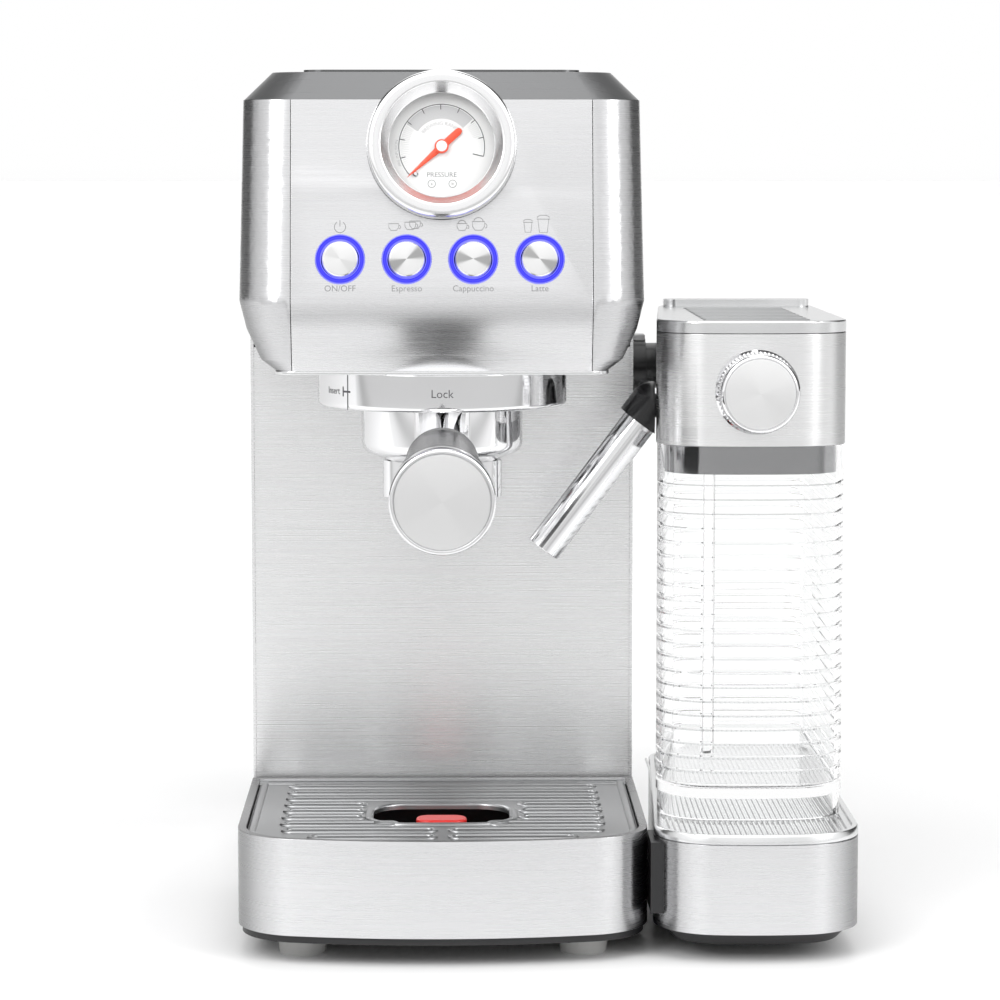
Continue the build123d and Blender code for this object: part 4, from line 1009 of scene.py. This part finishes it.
button_rows = np.array([(0.0, 1.32), (1.7, 1.3), (1.95, 1.15), (2.0, 0.9), (0.0, 0.9)]) * MM
add_on("hub_button", mesh_from("hub_button", [turned(button_rows, needle_base, slope_out, right, sides=40)]),
       dial_white, "gauge_needle")

# %% [markdown]
# ## Push buttons
#
# Each button is a spun metal cap with a rounded rim, standing inside a light ring. The ring's section is a
# shallow channel between two raised edges. Its blue glow is the ring's own light; the paler line at each
# edge of the ring is a painted highlight in the glow, and the UV layer carries the place across the ring for
# that.

# %% Caps and light rings
cap_rows = np.array([(0.0, 1.4), (5.4, 1.4), (5.9, 1.32), (6.3, 1.0), (6.5, 0.5), (6.55, -3.0), (2.2, -3.0),
                     (2.2, -7.7), (0.0, -7.7)]) * MM
cap_nodes = ["button_power", "button_espresso", "button_cappuccino", "button_latte"]
for node, look, x in zip(cap_nodes, cap_looks, button_across):
    spot = on_panel(x, button_up)
    cap = mesh_from(node + "_cap", [turned(cap_rows, spot, slope_out, right, sides=72)], smooth_angle=28)
    disc_uv(cap, spot, right, slope_up, 6.55 * MM)
    stand_in(node + "_cap", cap, look, node)
ring_inner = 6.9
ring_outer = 8.8
ring_rows = np.array([(ring_inner, -3.0), (ring_inner, 0.3), (7.05, 0.6), (7.3, 0.65), (7.55, 0.35),
                      (8.15, 0.35), (8.4, 0.65), (8.65, 0.6), (ring_outer, 0.3), (ring_outer, -3.0),
                      (ring_inner, -3.0)]) * MM
ring_parts = [turned(ring_rows, on_panel(x, button_up), slope_out, right, sides=72) for x in button_across]
rings = mesh_from("light_rings", ring_parts)
ring_steps = np.array([v.co[:] for v in rings.vertices]) - crease
flat_steps = np.stack([ring_steps @ right, ring_steps @ slope_up], axis=-1) / MM
distance = np.min([np.hypot(flat_steps[:, 0] - x, flat_steps[:, 1] - button_up) for x in button_across],
                  axis=0)
ring_uv = rings.uv_layers.new(name="disc")
ring_loops = np.array([loop.vertex_index for loop in rings.loops])
across_ring = (distance[ring_loops] - ring_inner) / (ring_outer - ring_inner)
ring_uv.data.foreach_set("uv", np.stack([across_ring, np.full_like(across_ring, 0.5)], axis=-1).ravel())
stand_in("light_rings", rings, blue_light, "button_light_rings")

# %% [markdown]
# ## Labels on the panel
#
# Fine grey line drawings stand above the buttons: a power sign, one and two cups, two milky cups and two
# tumblers. Words stand below. A cup is drawn as an open bowl with a handle, a tumbler as a tall cup that
# narrows downwards under a lid.

# %% Icons and words
def cup_icon(x, y, width, height, foam=False):
    """A cup in outline with its handle, and an arch of milk foam when asked."""
    half = width / 2
    bowl = [(x - half, y + height / 2), (x - half * 0.95, y - height * 0.1),
            (x - half * 0.55, y - height / 2), (x + half * 0.55, y - height / 2),
            (x + half * 0.95, y - height * 0.1), (x + half, y + height / 2)]
    lines = [ribbon(bowl, 0.24, closed=True),
             ribbon(arc_line((x + half, y), height * 0.27, -75, 85, 10), 0.22)]
    if foam:
        lines.append(ribbon(arc_line((x, y + height / 2 - height * 0.1), half * 0.8, 15, 165, 14), 0.22))
    return lines


def tumbler_icon(x, y, width, height):
    """A tall tumbler in outline under its lid."""
    half = width / 2
    top = y + height * 0.28
    body = [(x - half * 0.85, top), (x - half * 0.6, y - height / 2), (x + half * 0.6, y - height / 2),
            (x + half * 0.85, top)]
    lid = [(x - half, top), (x - half * 0.9, top + height * 0.14), (x - half * 0.5, y + height / 2),
           (x + half * 0.5, y + height / 2), (x + half * 0.9, top + height * 0.14), (x + half, top)]
    return [ribbon(body, 0.24, closed=True), ribbon(lid, 0.22, closed=True)]


power_x, espresso_x, cappuccino_x, latte_x = button_across
power_y = icon_up - 0.4
icons = [ribbon(arc_line((power_x, power_y), 2.0, 122, 418, 30), 0.26),
         ribbon([(power_x, power_y + 0.2), (power_x, power_y + 2.5)], 0.26)]
icons += cup_icon(espresso_x - 4.6, icon_up - 0.4, 3.6, 2.4) + cup_icon(espresso_x + 1.3, icon_up, 3.9, 2.7)
icons += cup_icon(espresso_x + 3.0, icon_up + 0.4, 3.9, 2.7)
icons += cup_icon(cappuccino_x - 4.0, icon_up - 0.4, 3.6, 2.5, foam=True)
icons += cup_icon(cappuccino_x + 1.9, icon_up, 4.4, 3.1, foam=True)
icons += tumbler_icon(latte_x - 4.2, icon_up, 3.4, 4.6)
icons += tumbler_icon(latte_x + 1.3, icon_up + 0.7, 4.6, 6.2)
print_on_panel("panel_icons", icons, grey_ink, "head_front_panel", 0.05)
label_size = 3.1
labels = [words(text, label_size, (x, label_up)) for text, x in
          zip(("ON/OFF", "Espresso", "Cappuccino", "Latte"), button_across)]
print_on_panel("panel_words", labels, grey_ink, "head_front_panel", 0.05)

# %% [markdown]
# ## Brew group
#
# The collar is a chromed ring with rounded edges; the portafilter's lugs turn under its inner step. "Lock"
# stands at its front and "Insert" at its left, where the handle points when it goes in. The words are
# wrapped around the ring: a letter's place along the line becomes an angle of place / radius.

# %% Collar and its marks
collar_low, collar_high = box_of("group_collar")
group_x, group_y = (collar_low[:2] + collar_high[:2]) / 2
collar_radius = (collar_high[0] - collar_low[0]) / 2
up = np.array([0.0, 0.0, 1.0])
marks_height = collar_low[2] + 6.8 * MM


def wrapped(shapes, at_degrees, lift=0.05 * MM):
    """Flat shapes wrapped around the collar, centred at an angle seen from above, 270 being the front."""
    parts = []
    for points, faces in shapes:
        angle = np.radians(at_degrees) + points[:, 0] * MM / collar_radius
        reach = collar_radius + lift
        height = np.full(len(points), marks_height) + points[:, 1] * MM
        spots = np.stack([group_x + reach * np.cos(angle), group_y + reach * np.sin(angle), height], -1)
        parts.append((spots, faces))
    return parts


front_turn = 270.0
insert_turn = front_turn - 53.0
marks = wrapped([words("Lock", 4.2)], front_turn)
marks += wrapped([words("Insert", 3.6, (-4.6, 0.0)), ribbon([(1.4, 0.0), (5.6, 0.0)], 0.7),
                  ribbon([(1.6, -1.8), (1.6, 1.8)], 0.6), ribbon([(4.2, -6.6), (4.2, 6.4)], 0.5)],
                 insert_turn)
add_on("collar_marks", mesh_from("collar_marks", marks, outward=False), dark_ink, "group_collar")
eased("collar_ring", "group_collar", chrome, 0.25)

# %% [markdown]
# ## Portafilter
#
# Body, neck, ferrule and spouts are polished, and their rounded shapes come straight from the CAD model.
# The grip is black, and its end carries a satin disc inside a polished rim. The disc is spun, so it has
# the same UV layer as the buttons, laid out square to the handle.

# %% Body, spouts, grip and its end
stand_in("portafilter_bowl", cad_copy("portafilter_body"), chrome, "portafilter_body")
eased("spout_block", "portafilter_spouts", chrome, 0.6)
eased("ferrule_ring", "portafilter_ferrule", chrome, 0.5)
stand_in("black_grip", cad_copy("portafilter_grip"), gloss_black, "portafilter_grip")
cap_low, cap_high = box_of("grip_end_cap")
handle_dip = np.radians(3.0)
handle_axis = np.array([0.0, -np.cos(handle_dip), -np.sin(handle_dip)])
handle_up = np.array([0.0, -np.sin(handle_dip), np.cos(handle_dip)])
cap_radius = 17.8 * MM
end_centre = np.array([(cap_low[0] + cap_high[0]) / 2, cap_low[1], 0.0])
end_centre[2] = cap_low[2] + cap_radius * np.cos(handle_dip) + 0.35 * MM
end_centre -= handle_axis * 0.9 * MM
rim_rows = np.array([(0.0, -8.7), (17.6, -8.7), (17.8, -1.0), (17.7, -0.3), (17.3, 0.2), (16.8, 0.4),
                     (16.4, 0.3), (16.2, -0.1), (16.1, -0.5), (0.0, -0.5)]) * MM
rim = mesh_from("grip_rim", [turned(rim_rows, end_centre, handle_axis, right, sides=96)], smooth_angle=40)
stand_in("grip_rim", rim, chrome, "grip_end_cap")
disc_rows = np.array([(0.0, 0.0), (15.4, -0.05), (15.9, -0.15), (16.05, -0.5), (0.0, -0.5)]) * MM
disc = mesh_from("grip_disc", [turned(disc_rows, end_centre, handle_axis, right, sides=96)])
disc_uv(disc, end_centre, right, handle_up, 16.05 * MM)
add_on("grip_disc", disc, grip_face_look, "grip_end_cap")

# %% [markdown]
# ## Milk unit: base
#
# The base is a brushed band under a ribbed plate with a bright rim. The ribs are low bars that run from
# front to back; each bar's ends follow the plate's outline, which is looked up at that bar's place.

# %% Base band and ribbed plate
base_low, base_high = box_of("milk_base_top")
base_left = middle_x + 76.2 * MM
base_line = bowed_box(base_left, base_high[0], base_low[1], base_high[1], 5.0 * MM, 24.0 * MM, 14.0 * MM,
                      left_rear=base_left + 8.3 * MM)
recess = base_high[2] - 0.8 * MM
plate_rows = np.array([(-0.5 * MM, base_low[2]), (0.0, base_low[2] + 0.5 * MM),
                       (0.0, base_high[2] - 0.6 * MM), (-0.5 * MM, base_high[2]),
                       (-2.2 * MM, base_high[2]), (-2.6 * MM, recess)])
plate_parts = [swept(base_line, plate_rows)]
rib_x = np.arange(base_left + 6.5 * MM, base_high[0] - 4.0 * MM, 1.95 * MM)
turned_line = (base_line[0][:, ::-1], base_line[1][:, ::-1])
rib_front, rib_rear = side_limits(turned_line, rib_x)
rib_margin = 3.4 * MM
rib_width = 1.1 * MM
rib_rise = 0.65 * MM
section = np.array([(-0.5, -0.1), (-0.35, 0.8), (-0.12, 1.0), (0.12, 1.0), (0.35, 0.8), (0.5, -0.1)])
section_x, section_z = (section * (rib_width, rib_rise)).T
for x, y_low, y_high in zip(rib_x, rib_front + rib_margin, rib_rear - rib_margin):
    ends = np.array([y_low, y_high])[:, None]
    rib = np.stack(np.broadcast_arrays(x + section_x, ends, recess + section_z), axis=-1)
    plate_parts.append((rib, grid_faces(2, len(section), wrap=True, caps=True)))
stand_in("ribbed_plate", mesh_from("ribbed_plate", plate_parts, smooth_angle=40), trim, "milk_base_top")
eased("milk_base_sheet", "milk_base_band", shaded_bent_steel, 0.3)

# %% [markdown]
# ## Milk unit: tank
#
# The tank is one thick-walled moulding with level grooves all the way round, which hide splashes and
# scratches. One profile is swept around its plan: inside floor, inside wall, rim, then down the grooved
# outside to the narrower foot. A groove is three profile rows: step = 0, -depth, 0 around its height.

# %% Grooved tank
tank_low, tank_high = box_of("milk_tank")
unit_low, unit_high = box_of("milk_head_housing")
unit_front = unit_low[1]
unit_depth = 147.0 * MM
unit_lean = 9.7 * MM
unit_left = middle_x + 77.8 * MM
unit_line = bowed_box(unit_left, unit_high[0], unit_front, unit_front + unit_depth, 4.5 * MM, 21.0 * MM,
                      12.0 * MM, left_rear=unit_left + unit_lean)
floor_height = tank_low[2] + 8.2 * MM
outer_step = -0.4 * MM
inner_step = -2.6 * MM
groove_depth = 0.7 * MM
groove_half = 0.75 * MM
groove_heights = np.arange(170.4, 60.0, -5.25) * MM
tank_rows = [(inner_step - 1.2 * MM, floor_height + 3.0 * MM), (inner_step, floor_height + 4.2 * MM),
             (inner_step, tank_high[2]), (outer_step, tank_high[2])]
groove_step = outer_step - groove_depth
groove_flat = groove_half * 0.25
for height in groove_heights:
    tank_rows += [(outer_step, height + groove_half), (groove_step, height + groove_flat),
                  (groove_step, height - groove_flat), (outer_step, height - groove_half)]
foot_step = -0.9 * MM
foot_wall = 2.2 * MM
tank_rows += [(outer_step, floor_height + 0.6 * MM), (foot_step, floor_height), (foot_step, tank_low[2]),
              (foot_step - foot_wall, tank_low[2]), (foot_step - foot_wall, floor_height - 0.6 * MM)]
tank = mesh_from("grooved_tank", [swept(unit_line, tank_rows)], smooth_angle=32)
stand_in("grooved_tank", tank, clear_plastic, "milk_tank")

# %% [markdown]
# ## Milk unit: head and lid
#
# The head's housing keeps its CAD shape. The lid has rounded edges, nine broad low bars across it, where a
# thumb presses, and a raised lip at the back.

# %% Housing and lid
grip_bar_look = polished("lid_bar_grey", (0.36, 0.365, 0.37), roughness=0.35, edge=0.1)
eased("housing_sheet", "milk_head_housing", housing_steel, 0.25)
eased("lid_moulding", "milk_lid", trim, 0.2)
lip_height = 2.7 * MM        # the lid's rear lip stands this much above its flat top
lid_top = box_of("milk_lid")[1][2] - lip_height
bar_parts = []
bar_rows = np.array([(0.0, -0.3), (0.0, 0.1), (-0.3, 0.3), (-0.9, 0.35)]) * MM
bar_rows[:, 1] += lid_top
bar_middle = middle_x + 114.8 * MM
for y in unit_front + np.linspace(12.0, 112.0, 9) * MM:
    bar_parts.append(swept(rounded_box((bar_middle, y), 39.0 * MM, 6.4 * MM, 1.2 * MM, steps=5), bar_rows))
add_on("lid_bars", mesh_from("lid_bars", bar_parts, smooth_angle=28), grip_bar_look, "milk_lid")

# %% [markdown]
# ## Milk unit: knob
#
# The knob is turned from aluminium: a knurled side and a flat spun face inside a bright chamfer. The knurl
# is a ripple in the turned radius: radius + depth * cos(count * angle).

# %% Knurled knob
knob_low, knob_high = box_of("milk_knob")
knob_centre = np.array([(knob_low[0] + knob_high[0]) / 2, knob_low[1], (knob_low[2] + knob_high[2]) / 2])
toward = np.array([0.0, -1.0, 0.0])
knurls = 60
knurl = 0.28
knob_rows = [(0.0, -21.6), (3.0, -21.6), (3.0, -13.1), (15.1, -13.1), (15.4, -12.8), (15.4, -11.4),
             (15.0, -10.9), (14.6, -10.4), (14.5, -10.2, knurl), (14.1, -3.4, knurl), (14.2, -2.9),
             (14.3, -2.4), (14.3, -1.2), (13.7, -0.3), (13.2, 0.0), (12.9, 0.0), (12.7, -0.35), (0.0, -0.35)]
knob_profile = np.array([(*row, 0.0)[:3] for row in knob_rows]) * MM
knob_part = turned(knob_profile, knob_centre, toward, right, sides=480, ripple=knurls)
knob = mesh_from("knurled_knob", [knob_part], smooth_angle=35)
stand_in("knurled_knob", knob, chrome, "milk_knob")
face_rows = np.array([(0.0, -0.02), (12.2, -0.02), (12.6, -0.12), (12.65, -0.4), (0.0, -0.4)]) * MM
face = mesh_from("knob_face", [turned(face_rows, knob_centre, toward, right, sides=96)])
disc_uv(face, knob_centre, right, up, 12.65 * MM)
add_on("knob_face", face, knob_face_look, "milk_knob")

# %% [markdown]
# ## Milk spout and steam port
#
# The spout is a thin polished tube in a black elbow. Its open end is eased, which shows as a small bright
# ring. The steam port beside it is a black socket; a pale clip on top holds the milk unit's spigot.

# %% Elbow, tube and clip
eased("elbow_moulding", "spout_elbow", gloss_black, 0.3)
eased("spout_pipe", "spout_tube", tube_steel, 0.25)
port_low, port_high = box_of("steam_port")
clip_centre = (port_high[0] - 2.4 * MM, (port_low[1] + port_high[1]) / 2)
clip_rows = np.array([(-0.4, 0.0), (0.0, 0.4), (0.0, 2.6), (-0.4, 3.0)]) * MM
clip_rows[:, 1] += port_high[2] - 1.6 * MM
clip = mesh_from("port_clip", [swept(rounded_box(clip_centre, 4.6 * MM, 9.0 * MM, 1.0 * MM), clip_rows)])
add_on("port_clip", clip, clip_plastic, "steam_port")

# %% [markdown]
# ## Water tank
#
# The tank at the back is smoke-tinted so that the water level shows. Its fill marks are printed bars with
# a word beside each, on the rear wall, where they are read when the tank is in place.

# %% Fill marks
wall_y = tray_front_y + 289.6 * MM
mark_parts = []
for text, height in (("MAX", 282.0), ("MIN", 78.0)):
    shapes = [words(text, 6.0, (-24.0, 0.0)), ribbon([(-15.0, 0.0), (12.0, 0.0)], 0.9)]
    for points, faces in shapes:
        spots = np.stack([middle_x - points[:, 0] * MM, np.full(len(points), wall_y + 0.08 * MM),
                          height * MM + points[:, 1] * MM], axis=-1)
        mark_parts.append((spots, faces))
marks_mesh = mesh_from("fill_marks", mark_parts, outward=False)
add_on("fill_marks", marks_mesh, clip_plastic, "water_tank")
